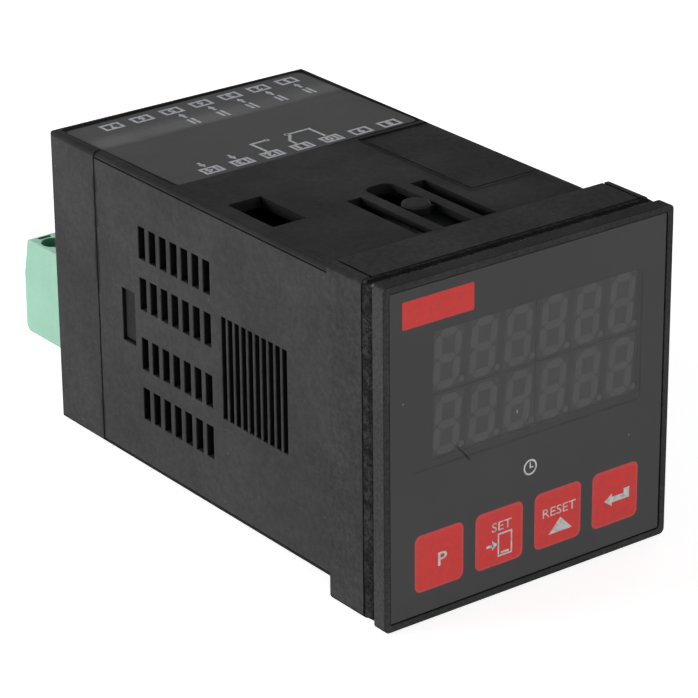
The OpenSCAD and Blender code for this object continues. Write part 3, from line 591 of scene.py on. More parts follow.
@dataclass(frozen=True)
class Ink:
    """Screen-printed ink with slightly uneven cover."""

    name: str
    colour: Colour
    thin_colour: Colour
    roughness: float = 0.55
    specular: float = 0.16
    cover_scale: float = 1500.0

    def material(self, effects: Effects) -> Material:
        """Builds the material."""
        net = Surface(self.name, self.roughness, self.specular)
        cover = net.noise(net.place(), self.cover_scale, 3.0, 0.6)
        grain = net.grain(effects, 6000.0, 300.0)
        colour = net.blend(net.remap(cover, 0.62, 0.3), self.colour, self.thin_colour)
        return net.finish(colour, grain["Height"], 0.003 * MM,
                          net.remap(grain["Mottle"], 0, 1, self.roughness - 0.06, self.roughness + 0.06))


@dataclass(frozen=True)
class LabelFilm:
    """Dark label that lies over a seam. Behind the seam it is lighter, with a soft sheen just behind it, both
    painted light; along the crease it has a line of painted shade.
    """

    name: str
    colour: Colour
    rear_colour: Colour
    sheen_colour: Colour
    seam: float
    roughness: float = 0.6

    def material(self, effects: Effects) -> Material:
        """Builds the material."""
        net = Surface(self.name, self.roughness, 0.16)
        place = net.place()
        grain = net.grain(effects, 5000.0, 120.0)
        marks = net.group(effects["handling"], {"Scale": 110.0})["Mask"]
        wander = net.times(net.noise(place, 130.0, 3.0, 0.6), 1.6 * MM)
        behind = net.calc("SUBTRACT", net.plus(net.axes(place)[1], wander), self.seam)
        sheen = net.times(net.remap(behind, 0.0, 1.6 * MM), net.remap(behind, 6.2 * MM, 2.2 * MM),
                          net.remap(net.noise(place, 55.0, 2.0, 0.5), 0.35, 0.65, 0.35, 1.0))
        crease = net.times(net.remap(behind, -1.2 * MM, -0.2 * MM), net.remap(behind, 0.6 * MM, 0.0), 0.3)
        colour = net.varied(grain["Mottle"], self.colour, 0.94, 1.06)
        # Lighter behind the seam with a sheen band, and darker along the crease: painted light and shade.
        colour = net.blend(net.remap(behind, 0.0, 1.2 * MM), colour, self.rear_colour)
        colour = net.blend(sheen, colour, self.sheen_colour)
        colour = net.blend(crease, colour, scaled(self.colour, 0.6))
        colour = net.blend(net.times(marks, 0.12), colour, self.rear_colour)
        return net.finish(net.shaded(colour, net.ramp(grain["Speckle"], 0.92, 1.08)), grain["Height"],
                          0.004 * MM, net.remap(marks, 0, 1, self.roughness, self.roughness + 0.1))


@dataclass(frozen=True)
class FoamRubber:
    """Cellular rubber with open pores, lighter towards its rear. Its crevices and the middle of its top carry
    painted shade, and its top towards its front and rear edges painted light.
    """

    name: str
    colour: Colour
    middle: float
    pore_scale: float = 2200.0

    def material(self, effects: Effects) -> Material:
        """Builds the material."""
        net = Surface(self.name, 0.9, 0.03)
        place = net.place()
        cells = net.add("TexVoronoi", {"Vector": place, "Scale": self.pore_scale})["Distance"]
        broad = net.noise(place, 700.0, 4.0, 0.7)
        pore = net.remap(cells, 0.15, 0.55)
        colour = net.blend(net.remap(broad, 0.35, 0.65), scaled(self.colour, 0.45),
                           net.varied(pore, self.colour, 0.4, 1.45))
        # Painted shade in crevices and along the middle of the top, and painted light on the top towards its
        # front and rear edges.
        crevice = net.group(effects["crevice"], {"Reach": 2.0 * MM})["Mask"]
        above = net.remap(net.axes(net.normal())[2], 0.3, 0.8)
        along = net.calc("SUBTRACT", net.axes(place)[1], self.middle)
        top_shading = net.plus(net.remap(along, 0.2 * MM, -0.8 * MM, 0.4, 12.0),
                         net.remap(along, 0.6 * MM, 1.2 * MM, 0.0, 2.4))
        colour = net.shaded(colour, net.ramp(crevice, 1.0, 0.45),
                            net.ramp(net.remap(along, -0.5 * MM, 0.5 * MM), 1.0, 1.6),
                            net.plus(net.ramp(above, 1.0, 0.0), net.times(above, top_shading)))
        return net.finish(colour, net.plus(pore, broad), 0.1 * MM)


@dataclass(frozen=True)
class DisplayFace:
    """Dark display module with pale segments just proud of its face; its paler digit fields are painted
    light, spread round the digits through the film.
    """

    name: str
    colour: Colour
    field_colour: Colour
    segment_colour: Colour
    step: float
    corner: Flat
    pitch: Flat
    lean: float = math.radians(5)

    def material(self, effects: Effects) -> Material:
        """Builds the material."""
        net = Surface(self.name, 0.5, 0.2)
        grain = net.grain(effects, 5000.0, 400.0)
        x, y, z = net.axes(net.place())
        up = self.from_middle(net, z, 1)
        across = self.from_middle(net, net.calc("SUBTRACT", x, net.times(up, math.tan(self.lean))), 0)
        # Paler digit fields: painted light.
        digit_field = net.times(net.remap(net.size(across), 2.6 * MM, 2.1 * MM),
                                net.remap(net.size(up), 4.4 * MM, 3.9 * MM))
        face = net.blend(digit_field, self.colour, self.field_colour)
        pale = net.varied(grain["Mottle"], self.segment_colour, 0.85, 1.0)
        return net.finish(net.blend(net.under(y, self.step), face, pale), grain["Height"], 0.006 * MM)

    def from_middle(self, net: Net, along: Socket, axis: int) -> Socket:
        """Distance along an axis from the middle of the nearest digit field."""
        pitch = self.pitch[axis]
        steps = net.calc("FRACT", net.calc("DIVIDE", net.calc("SUBTRACT", along, self.corner[axis]), pitch))
        return net.times(net.calc("SUBTRACT", steps, 0.5), pitch)


@dataclass(frozen=True)
class CircuitBoard:
    """Circuit board with solder mask over copper tracks, and pale cut edges; its crevices carry painted
    shade.
    """

    name: str
    mask_colour: Colour
    track_colour: Colour = (0.014, 0.045, 0.024)
    core_colour: Colour = (0.20, 0.21, 0.12)
    pad_colour: Colour = (0.55, 0.55, 0.52)
    track_scale: float = 260.0

    def material(self, effects: Effects) -> Material:
        """Builds the material."""
        net = Surface(self.name, 0.4, 0.4)
        tracks = {"Vector": net.place(), "Scale": self.track_scale}
        cells = net.add("TexVoronoi", tracks, distance="MANHATTAN")
        track = net.under(net.calc("PINGPONG", cells["Distance"], 0.19), 0.075)
        pad = net.times(net.under(cells["Distance"], 0.16), net.under(net.chance(cells), 0.4))
        across = net.calc("MAXIMUM", *(net.size(axis) for axis in net.axes(net.normal())[1:]))
        grain = net.grain(effects, 3000.0, 200.0)
        colour = net.varied(grain["Mottle"], self.mask_colour, 0.8, 1.2)
        colour = net.blend(track, colour, self.track_colour)
        colour = net.blend(pad, colour, self.pad_colour)
        colour = net.blend(net.under(across, 0.5), colour, self.core_colour)
        # Crevices darkened: painted shade.
        colour = net.shaded(colour, net.ramp(net.group(effects["crevice"])["Mask"], 1.0, 0.06))
        return net.finish(colour, net.plus(track, grain["Height"]), 0.02 * MM,
                          net.remap(grain["Mottle"], 0, 1, 0.35, 0.5))


@dataclass(frozen=True)
class Metal:
    """Plated or drawn metal with fine scratches and duller patches."""

    name: str
    colour: Colour
    roughness: float = 0.32
    stretch: Triple = (1.0, 0.08, 1.0)

    def material(self, effects: Effects) -> Material:
        """Builds the material."""
        net = Surface(self.name, self.roughness, 0.5, 1.0)
        drawn = net.add("Mapping", {"Vector": net.place(), "Scale": self.stretch})[0]
        edge = net.group(effects["edge"], {"Radius": 0.08 * MM})
        grain = net.grain(effects, 4000.0, 250.0)
        colour = net.blend(edge["Edge"], net.varied(grain["Mottle"], self.colour, 0.82, 1.0),
                           scaled(self.colour, 1.15))
        roughness = net.remap(grain["Mottle"], 0, 1, self.roughness + 0.14, self.roughness)
        return net.finish(colour, net.noise(drawn, 5000.0, 3.0, 0.7), 0.006 * MM, roughness, edge["Normal"])


@dataclass(frozen=True)
class Sleeve:
    """Shrunk sleeve with a pale stripe down one side."""

    name: str
    colour: Colour
    stripe_colour: Colour
    stripe_from: float

    def material(self, effects: Effects) -> Material:
        """Builds the material."""
        net = Surface(self.name, 0.35, 0.4)
        grain = net.grain(effects, 2500.0, 180.0)
        stripe = net.calc("GREATER_THAN", net.axes(net.place())[0], self.stripe_from)
        colour = net.blend(stripe, net.varied(grain["Mottle"], self.colour, 0.85, 1.15), self.stripe_colour)
        return net.finish(colour, grain["Height"], 0.01 * MM)


def build_palette() -> Palette:
    """Every finish of the timer, built once, under the name of its use."""
    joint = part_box("main_housing")[1].y + 0.05 * MM
    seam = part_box("rear_cover")[0].y + 10.6 * MM
    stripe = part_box("filter_capacitor")[1].x - 1.6 * MM
    foam_middle = sum(corner.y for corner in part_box("panel_gasket")) / 2
    low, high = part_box("lower_display_left")[0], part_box("upper_display_right")[1]
    digit_pitch = ((high.x - low.x) / 6, (high.z - low.z) / 2)
    finishes = {
        # The gains on edges, corners, upper faces, crevices, seams and walls paint light and shade into these
        # plastics.
        "case": MouldedPlastic("case_plastic", shade(0.042), speckle=0.16, edge_radius=0.22 * MM,
                               edge_gain=0.35, polish_gain=1.3, corner_gain=0.55, seam_gain=0.5,
                               inner_gain=0.4, joint_gain=0.35, joint=joint, fleck_share=0.025),
        "cap": MouldedPlastic("cap_plastic", shade(0.0405), speckle=0.16, edge_gain=0.85, corner_gain=0.55,
                              seam_gain=0.6, inner_gain=0.45, joint_gain=0.35, joint=joint,
                              fleck_share=0.025),
        "collar": MouldedPlastic("collar_plastic", shade(0.041), mottle=0.14, speckle=0.26,
                                 corner_gain=0.55, upper_gain=1.3, seam_gain=0.7, fleck_share=0.03),
        "bezel": MouldedPlastic("bezel_plastic", (0.047, 0.047, 0.048), speckle=0.3, speckle_scale=2000.0,
                                edge_radius=0.24 * MM, edge_gain=0.5, polish_gain=0.6, upper_gain=0.72,
                                fleck_share=0.03),
        "film": CoatedFilm("film_print", shade(0.060)),
        "window": CoatedFilm("display_window", shade(0.150), alpha=0.5),
        "red": Ink("red_ink", (0.77, 0.068, 0.063), (0.69, 0.07, 0.066), cover_scale=900.0),
        # Paler red for the keys' slopes: a painted highlight.
        "red_edge": Ink("red_slope_highlight_ink", (0.72, 0.088, 0.09), (0.66, 0.085, 0.085)),
        "white": Ink("white_ink", (0.76, 0.76, 0.74), (0.50, 0.49, 0.48)),
        "label_white": Ink("label_ink", (0.88, 0.91, 0.96), (0.60, 0.63, 0.68)),
        # Painted shadow along the edge of the sunk pad.
        "dirt": Ink("pad_step_shadow", shade(0.010), shade(0.022), 0.85, 0.03, 500.0),
        "border": Ink("window_border", shade(0.042), shade(0.052), 0.5, 0.16, 300.0),
        "scratch": Ink("dark_scratch", shade(0.010), shade(0.018)),
        "label": LabelFilm("label_film", shade(0.052), shade(0.072), shade(0.19), seam),
        "foam": FoamRubber("foam_rubber", shade(0.020), foam_middle),
        "board": CircuitBoard("circuit_board", (0.006, 0.020, 0.012)),
        "display": DisplayFace("display_plastic", shade(0.026), shade(0.070), shade(0.18),
                               low.y + 0.03 * MM, (low.x, low.z), digit_pitch),
        "switch": MouldedPlastic("switch_plastic", shade(0.035), 0.5, 0.3),
        "plunger": MouldedPlastic("plunger_plastic", (0.68, 0.64, 0.56), 0.5, 0.35),
        "chip": MouldedPlastic("chip_plastic", (0.02, 0.02, 0.021), 0.55, 0.35, grain_depth=0.02 * MM),
        "potting": MouldedPlastic("potting", (0.03, 0.035, 0.05), 0.35, 0.45, mottle_scale=180.0),
        "relay": MouldedPlastic("relay_plastic", (0.04, 0.12, 0.40), 0.35, 0.45),
        "varistor": MouldedPlastic("varistor_coat", (0.05, 0.16, 0.50), 0.4, 0.4, grain_scale=1500.0,
                                   grain_depth=0.03 * MM),
        "sleeve": Sleeve("capacitor_sleeve", (0.02, 0.04, 0.12), (0.55, 0.58, 0.62), stripe),
        # The plug's upper faces and edges get painted light, and its crevices a darker green as painted
        # shade.
        "green": MouldedPlastic("terminal_plastic", (0.265, 0.485, 0.37), 0.5, 0.3, mottle=0.05,
                                speckle=0.02, edge_radius=0.15 * MM, edge_gain=1.2, upper_gain=2.6,
                                crevice_gain=1.0, deep_colour=(0.04, 0.30, 0.14), glow=0.25),
        "tinned": Metal("tinned_metal", (0.62, 0.62, 0.60)),
        "brass": Metal("contact_metal", (0.60, 0.45, 0.16)),
        "can": Metal("crystal_can", (0.60, 0.61, 0.62), 0.28),
    }
    effects = build_effects()
    return {use: finish.material(effects) for use, finish in finishes.items()}


def dress(palette: Palette, uses: dict[str, Sequence[str]]) -> None:
    """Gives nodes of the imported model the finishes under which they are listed."""
    for use, nodes in uses.items():
        for name in nodes:
            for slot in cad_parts[name].material_slots:
                slot.material = palette[use]
            log.info("node %s: %s", name, use)


def attach(piece: Piece, body: str) -> Piece:
    """Lets a piece move with a body and reports it."""
    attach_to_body(piece, body)
    log.info("piece %s: %d faces", piece.name, len(piece.data.polygons))
    return piece


class PrintLayer:
    """Flat marks, measured in millimetres, that are gathered into one thin mesh."""

    def __init__(self, place: Placer) -> None:
        """Starts a layer on a place, which turns metres to the right and up into a point in space."""
        self.place = place
        self.draft = MeshDraft()

    def ring(self, points: Sequence[Flat]) -> list[int]:
        """Adds points of the layer and gives their numbers."""
        return self.draft.ring([self.place(x * MM, y * MM) for x, y in points])

    def polygon(self, points: Sequence[Flat], slot: int = 0) -> None:
        """Adds a filled shape."""
        self.draft.face(self.ring(points), slot)

    def stroke(self, points: Sequence[Flat], width: float, closed: bool = False, slot: int = 0) -> None:
        """Adds a line with mitred corners.

        Args:
            points: The corners of its centre line.
            width: How wide it is.
            closed: Whether the last corner joins the first one.
            slot: Material slot.
        """
        count = len(points)
        sides: list[tuple[Flat, Flat]] = []
        for here, point in enumerate(points):
            before = Vector(points[(here - 1) % count]) if closed or here else None
            after = Vector(points[(here + 1) % count]) if closed or here < count - 1 else None
            middle = Vector(point)
            into = (middle - before).normalized() if before is not None else (after - middle).normalized()
            out = (after - middle).normalized() if after is not None else into
            across = (into.orthogonal() + out.orthogonal()).normalized()
            reach = width / 2 / max(across.dot(out.orthogonal()), 0.3)
            sides.append((tuple(middle + across * reach), tuple(middle - across * reach)))
        pairs = list(zip(sides, sides[1:] + sides[:1])) if closed else list(zip(sides, sides[1:]))
        for (left, right), (next_left, next_right) in pairs:
            self.polygon((left, right, next_right, next_left), slot)

    def frame(self, x: float, y: float, width: float, height: float, line: float) -> None:
        """Adds an outlined rectangle round a centre."""
        half_x, half_y = (width - line) / 2, (height - line) / 2
        signs = ((-1, -1), (1, -1), (1, 1), (-1, 1))
        self.stroke([(x + side * half_x, y + end * half_y) for side, end in signs], line, closed=True)

    def circle(self, x: float, y: float, radius: float, line: float = 0.0, steps: int = 24) -> None:
        """Adds a ring, or a disc where the line is zero."""
        angles = [math.tau * step / steps for step in range(steps)]
        points = [(x + radius * math.cos(angle), y + radius * math.sin(angle)) for angle in angles]
        if line:
            self.stroke(points, line, closed=True)
        else:
            self.polygon(points)

    def text(self, words: str, x: float, y: float, width: float, height: float, weight: float = 0.0) -> None:
        """Adds plain characters that fill a rectangle round a centre.

        Args:
            words: What is written.
            x: Centre to the right.
            y: Centre upwards.
            width: Width that the characters fill.
            height: Height that they fill.
            weight: Thickening of the strokes, as a share of the letter size.
        """
        curve = bpy.data.curves.new("characters", "FONT")
        curve.body = words
        curve.offset = weight
        curve.resolution_u = 3
        holder = link(bpy.data.objects.new("characters", curve))
        depsgraph = bpy.context.evaluated_depsgraph_get()
        mesh = bpy.data.meshes.new_from_object(holder.evaluated_get(depsgraph))
        xs = [vertex.co.x for vertex in mesh.vertices]
        ys = [vertex.co.y for vertex in mesh.vertices]
        scale_x = width / (max(xs) - min(xs))
        scale_y = height / (max(ys) - min(ys))
        start_x, start_y = x - width / 2 - min(xs) * scale_x, y - height / 2 - min(ys) * scale_y
        numbers = self.ring([(start_x + vertex.co.x * scale_x, start_y + vertex.co.y * scale_y)
                             for vertex in mesh.vertices])
        for polygon in mesh.polygons:
            self.draft.face([numbers[corner] for corner in polygon.vertices])
        bpy.data.objects.remove(holder)
        bpy.data.meshes.remove(mesh)
        bpy.data.curves.remove(curve)


@dataclass
class CaseShell:
    """Housing, covers and the frame that slides over them. The pad's measures are in millimetres."""

    palette: Palette
    pad_edge: Flat = (9.5, 19.45)
    pad_rear: float = 44.3
    pad_margin: float = 1.2
    line: float = 0.30

    def pad_line(self) -> Piece:
        """A fine dark line round the sunk pad on the top: a painted shadow of the pad's step."""
        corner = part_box("main_housing")[1]
        x, y = (edge - self.line / 2 for edge in self.pad_edge)
        layer = PrintLayer(lambda across, along: Vector((across, along, corner.z + 0.004 * MM)))
        layer.stroke([(x, self.pad_rear), (x, y), (corner.x / MM - self.pad_margin, y)], self.line)
        piece = layer.draft.piece("pad_line", [self.palette["dirt"]], closed=False)
        return attach(piece, "timer")

    def build(self) -> None:
        """Dresses the case."""
        self.pad_line()
        dress(self.palette, {"case": ("main_housing", "side_cover"), "cap": ("rear_cover",),
                             "collar": ("retaining_frame",)})


class FilmSlot(IntEnum):
    """Material slots of the film."""

    PRINT = 0
    WINDOW = 1
    RED = 2
    # Paler red on the keys' slopes: a painted highlight.
    RED_EDGE = 3


class MarkSlot(IntEnum):
    """Material slots of the marks on the film's flat front."""

    WHITE = 0
    SCRATCH = 1
    BORDER = 2


@dataclass
class FrontPanel:
    """Bezel, printed film with its raised keys, and displays. The keys are measured in millimetres."""

    palette: Palette
    key_centres: tuple[float, ...] = (-15.0, -5.0, 5.0, 15.0)
    key_z: float = -15.7
    key_size: Triple = (8.0, 8.2, 1.0)
    window: RoundedRect = rect_mm(1.2, 7.3, 34.5, 17.7, 0.2)
    plate: RoundedRect = rect_mm(-15.18, 19.5, 11.5, 3.8, 0.25)
    film_radius: float = 0.2 * MM
    film_inset: float = 0.03 * MM
    face_depth: float = 0.1 * MM
    key_depth: float = 0.015 * MM
    slope: float = 0.42 * MM
    rounding: float = 0.06 * MM
    print_lift: float = 0.006 * MM

    def keys(self) -> list[RoundedRect]:
        """The four key fields from left to right."""
        return [rect_mm(centre, self.key_z, *self.key_size) for centre in self.key_centres]

    def slot_at(self, x: float, z: float) -> int | None:
        """Material slot of the film's flat front, or None inside a key field."""
        if any(key.holds(x, z) for key in self.keys()):
            return None
        if self.window.holds(x, z):
            return FilmSlot.WINDOW
        return FilmSlot.RED if self.plate.holds(x, z) else FilmSlot.PRINT

    def pillow(self, draft: MeshDraft, key: RoundedRect, face: float, top: float) -> None:
        """Adds a key field that rises softly from the film, with a paler red on its slopes as a painted
        highlight.

        Args:
            draft: The mesh that it joins.
            key: The field's outline.
            face: Place of the film's front face.
            top: Place of the field's flat top.
        """
        steps = 5
        rings = []
        for step in range(steps + 1):
            share = step / steps
            depth = face + (top - face) * share * share * (3 - 2 * share)
            rings.append(draft.ring([Vector((x, depth, z)) for x, z in key.outline(self.slope * share)]))
        for outer, inner in zip(rings, rings[1:]):
            draft.bridge(outer, inner, FilmSlot.RED_EDGE)
        draft.face(rings[-1], FilmSlot.RED)

    def film(self) -> Piece:
        """The printed film, with a clear window and red key fields."""
        low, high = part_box("front_film")
        back, face, top = high.y, low.y + self.face_depth, low.y + self.key_depth
        edge = RoundedRect(0, 0, high.x - low.x - 2 * self.film_inset, high.z - low.z - 2 * self.film_inset,
                           self.film_radius)
        window, rounding = self.window.outline(), self.rounding
        draft = MeshDraft()
        rings = [edge.outline(rounding), window, self.plate.outline()]
        rings += [key.outline() for key in self.keys()]
        draft.skin(rings, [], lambda x, z: Vector((x, face, z)), self.slot_at)
        for key in self.keys():
            self.pillow(draft, key, face, top)
        sides = [draft.ring([Vector((x, face + depth, z)) for x, z in edge.outline(inset)])
                 for inset, depth in ((rounding, 0), (0.3 * rounding, 0.3 * rounding), (0, rounding),
                                      (0, back - face))]
        for first, second in zip(sides, sides[1:]):
            draft.bridge(first, second)
        draft.skin([edge.outline(), window], [], lambda x, z: Vector((x, back, z)),
                   lambda x, z: None if self.window.holds(x, z) else FilmSlot.PRINT)
        draft.bridge(*(draft.ring([Vector((x, depth, z)) for x, z in window]) for depth in (face, back)))
        slots = [self.palette[use] for use in ("film", "window", "red", "red_edge")]
        piece = draft.piece("printed_film", slots)
        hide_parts("front_film")
        return attach(piece, "timer")

    def layer(self, depth: float) -> PrintLayer:
        """A layer of marks just before a depth below the film's foremost face."""
        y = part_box("front_film")[0].y + depth - self.print_lift
        return PrintLayer(lambda x, z: Vector((x, y, z)))

    def key_marks(self) -> Piece:
        """White legends on the key fields."""
        layer = self.layer(self.key_depth)
        layer.text("P", -14.5, -15.85, 1.5, 1.95, 0.012)
        layer.text("SET", -4.65, -14.15, 3.3, 1.3)
        layer.frame(-4.08, -16.9, 2.45, 3.4, 0.24)
        layer.stroke([(-4.75, -18.1), (-3.4, -18.1)], 0.3)
        layer.stroke([(-7.2, -16.7), (-6.1, -16.7)], 0.36)
        layer.polygon([(-6.25, -17.4), (-5.4, -16.7), (-6.25, -16.0)])
        layer.text("RESET", 5.2, -14.75, 5.7, 1.3)
        layer.polygon([(3.4, -18.05), (7.45, -18.05), (5.4, -15.95)])
        layer.polygon([(13.1, -16.15), (14.45, -17.1), (14.45, -16.6), (17.5, -16.6), (17.5, -15.05),
                       (16.5, -15.05), (16.5, -15.75), (14.45, -15.75), (14.45, -15.2)])
        piece = layer.draft.piece("key_legends", [self.palette["white"]], closed=False)
        return attach(piece, "timer")

    def face_marks(self) -> Piece:
        """A small clock sign, the film's scratch and specks, and the shadow of the window's frame."""
        layer = self.layer(self.face_depth)
        layer.circle(0.15, -7.2, 1.0, 0.26, 32)
        layer.stroke([(0.15, -6.5), (0.15, -7.25), (0.7, -7.25)], 0.22)
        layer.stroke([(-12.2, -0.65), (-11.2, -1.75), (-10.0, -3.2)], 0.2, slot=MarkSlot.SCRATCH)
        layer.stroke([(-2.2, 1.65), (-2.15, 1.15)], 0.14)
        layer.circle(-20.85, 7.6, 0.06, steps=8)
        layer.circle(17.25, -7.4, 0.06, steps=8)
        layer.stroke([(-18.9, -2.5), (18.95, -2.5), (18.95, 15.5)], 0.32, slot=MarkSlot.BORDER)
        slots = [self.palette[use] for use in ("white", "scratch", "border")]
        return attach(layer.draft.piece("face_marks", slots, closed=False), "timer")

    def build(self) -> None:
        """Builds the pieces of the front and dresses its nodes."""
        keys = ("program", "set", "reset", "enter")
        dress(self.palette, {
            "bezel": ("front_bezel",),
            "display": [f"{row}_display_{side}" for row in ("upper", "lower") for side in ("left", "right")],
            "switch": [f"{key}_key_switch" for key in keys],
            "plunger": [f"{key}_key_plunger" for key in keys]})
        self.film()
        self.key_marks()
        self.face_marks()


@dataclass
class FoamSeal:
    """The foam ring between bezel and panel."""

    palette: Palette
    wall: float = 1.6 * MM
    radius: float = 0.6 * MM
    spacing: float = 0.3 * MM
    roughness: float = 0.07 * MM
    swell: float = 0.1 * MM
    taper: Flat = (0.1 * MM, 0.22 * MM)

    def outline(self, half: float) -> list[Flat]:
        """Evenly spaced points round a square with rounded corners."""
        corners = RoundedRect(0, 0, 2 * half, 2 * half, self.radius).outline(steps=4)
        points: list[Flat] = []
        for start, end in zip(corners, corners[1:] + corners[:1]):
            count = max(1, round(math.dist(start, end) / self.spacing))
            for step in range(count):
                share = step / count
                points.append((start[0] + (end[0] - start[0]) * share,
                               start[1] + (end[1] - start[1]) * share))
        return points

    def ragged(self, point: Vector, outward: Vector) -> Vector:
        """Moves a point inwards by the foam's pores."""
        depth = 0.5 + 0.5 * noise.noise(point * 1900)
        depth += 0.35 * noise.noise(point * 4300)
        return point - outward * max(depth, 0) * self.roughness

    def build(self) -> Piece:
        """Builds the ring."""
        low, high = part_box("panel_gasket")
        half = high.x
        outer = self.outline(half)
        inner_scale = (half - self.wall) / half
        draft = MeshDraft()
        rear = high.y + self.swell
        depth_steps = max(4, round((rear - low.y) / self.spacing))
        rings = []
        for step in range(depth_steps + 1):
            share = step / depth_steps
            y = low.y + (rear - low.y) * share
            inset = self.taper[0] - self.taper[1] * share
            ring = []
            for x, z in outer:
                outward = Vector((x, 0, z)).normalized()
                ring.append(self.ragged(Vector((x, y, z)) - outward * inset, outward))
            rings.append(draft.ring(ring))
        rings += [draft.ring([Vector((x * inner_scale, y, z * inner_scale)) for x, z in outer])
                  for y in (rear, low.y)]
        for first, second in zip(rings, rings[1:] + rings[:1]):
            draft.bridge(first, second)
        piece = draft.piece("foam_ring", [self.palette["foam"]])
        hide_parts("panel_gasket")
        return attach(piece, "timer")


@dataclass
class TopLabel:
    """The terminal label on the top, put on slightly askew. Its marks are measured in millimetres."""

    palette: Palette
    skew: float = math.radians(1.3)
    radius: float = 1.0 * MM
    spacing: float = 0.8 * MM
    thickness: float = 0.04 * MM
    sag: float = 0.03 * MM
    ink_lift: float = 0.012 * MM
    columns: int = 7
    box_pitch: float = 5.17
    box_start: float = -16.8
    box_size: Flat = (3.3, 2.35)
    far_row: float = 12.35
    far_lean: Flat = (-0.087, -0.117)
    near_row: float = -11.55
    line: float = 0.47
    low: Vector = field(default_factory=lambda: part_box("rating_label")[0])
    high: Vector = field(default_factory=lambda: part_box("rating_label")[1])

    def on_label(self, x: float, y: float, lift: float = 0.0) -> Vector:
        """A point of the label's own plane, in the frame.

        Args:
            x: Distance from the label's centre across the case, in metres.
            y: Distance from its centre towards the rear.
            lift: Height above its face.

        Returns:
            The point, with the label's skew and its sag over the seam.
        """
        centre = (self.low + self.high) / 2
        turned_x = x * math.cos(self.skew) - y * math.sin(self.skew)
        turned_y = x * math.sin(self.skew) + y * math.cos(self.skew)
        place = Vector((centre.x + turned_x, centre.y + turned_y, 0))
        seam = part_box("rear_cover")[0].y + 10.3 * MM
        dip = self.sag * math.exp(-((place.y - seam) / (1.4 * MM)) ** 2)
        wave = 0.012 * MM * noise.noise(Vector((x, y, 0)) * 120)
        place.z = self.high.z - dip - abs(wave) + lift
        return place

    def sheet(self) -> Piece:
        """The dark label itself."""
        size = self.high - self.low
        edge = RoundedRect(0, 0, size.x, size.y, self.radius)
        rim = edge.outline(self.thickness)
        loose = []
        for column in range(1, int(size.x / self.spacing)):
            for row in range(1, int(size.y / self.spacing * 2)):
                point = (column * self.spacing - size.x / 2, row * self.spacing / 2 - size.y / 2)
                if edge.holds(point[0] * 1.02, point[1] * 1.02):
                    loose.append(point)
        draft = MeshDraft()
        draft.skin([rim], loose, self.on_label, lambda x, y: 0, soft=True)
        top = draft.ring([self.on_label(x, y) for x, y in rim])
        side = draft.ring([self.on_label(x, y, -self.thickness) for x, y in edge.outline()])
        foot_z = self.low.z + 0.002 * MM
        foot = draft.ring([Vector((*self.on_label(x, y).xy, foot_z)) for x, y in edge.outline()])
        draft.bridge(top, side)
        draft.bridge(side, foot)
        draft.face(foot)
        piece = draft.piece("terminal_label", [self.palette["label"]])
        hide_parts("rating_label")
        return attach(piece, "timer")

    def near_spot(self, number: int) -> Flat:
        """Centre of a box of the near row, counted from the left as read from the rear."""
        return self.box_start + self.box_pitch * number, self.near_row

    def far_spot(self, number: int) -> Flat:
        """Centre of a box of the far row, which leans a little."""
        x, _ = self.near_spot(number)
        return x + self.far_lean[0] * number, self.far_row + self.far_lean[1] * number

    def arrow(self, layer: PrintLayer, x: float, tip: float, tail: float) -> None:
        """Adds an arrow up or down a column."""
        back = math.copysign(1.1, tail - tip)
        layer.stroke([(x, tail), (x, tip + back)], self.line)
        layer.polygon([(x, tip), (x - 0.55, tip + back), (x + 0.55, tip + back)])

    def contact(self, layer: PrintLayer, x: float, y: float) -> None:
        """Adds an input contact over a terminal: an arrow and two parallel strokes."""
        self.arrow(layer, x, y + 0.1, y + 2.2)
        layer.stroke([(x - 0.35, y + 2.7), (x - 0.35, y + 5.2)], self.line)
        layer.stroke([(x + 0.45, y + 2.9), (x + 0.45, y + 5.0)], self.line)

    def relay_sign(self, layer: PrintLayer) -> None:
        """Adds the change-over contact between three terminals of the far row."""
        (left, _), (middle, row), (right, _) = (self.far_spot(number) for number in (2, 3, 4))
        top, knee = row - 1.3, row - 5.1
        for points in ([(left, top), (left, knee), (left + 3.6, knee)],
                       [(right, top), (right, knee), (right - 2.4, knee)],
                       [(middle, top), (middle, knee + 2.2)],
                       [(middle, knee + 2.2), (middle - 1.5, knee + 0.35)]):
            layer.stroke(points, self.line)
        layer.circle(left + 3.9, knee, 0.35, 0.2, 12)
        layer.circle(right - 2.7, knee, 0.35, 0.2, 12)

    def marks(self) -> Piece:
        """Terminal numbers in boxes, with plain wiring signs."""
        layer = PrintLayer(lambda x, y: self.on_label(-x, -y, self.ink_lift))
        widths = {1: 0.6}
        for column in range(self.columns):
            near, far = (self.near_spot(column), column + 1), (self.far_spot(column), column + 8)
            for (x, row), number in (near, far):
                layer.frame(x, row, *self.box_size, self.line)
                width = widths.get(number, 0.95 if number < 10 else 1.95)
                layer.text(str(number), x, row, width, 1.45, 0.055)
        for column in range(5):
            x, row = self.near_spot(column)
            self.contact(layer, x, row + 1.5)
        for column in (5, 6):
            x, row = self.far_spot(column)
            self.arrow(layer, x, row - 1.4, row - 3.4)
        self.relay_sign(layer)
        piece = layer.draft.piece("label_marks", [self.palette["label_white"]], closed=False)
        return attach(piece, "timer")

    def build(self) -> None:
        """Builds the label and what is printed on it."""
        self.sheet()
        self.marks()


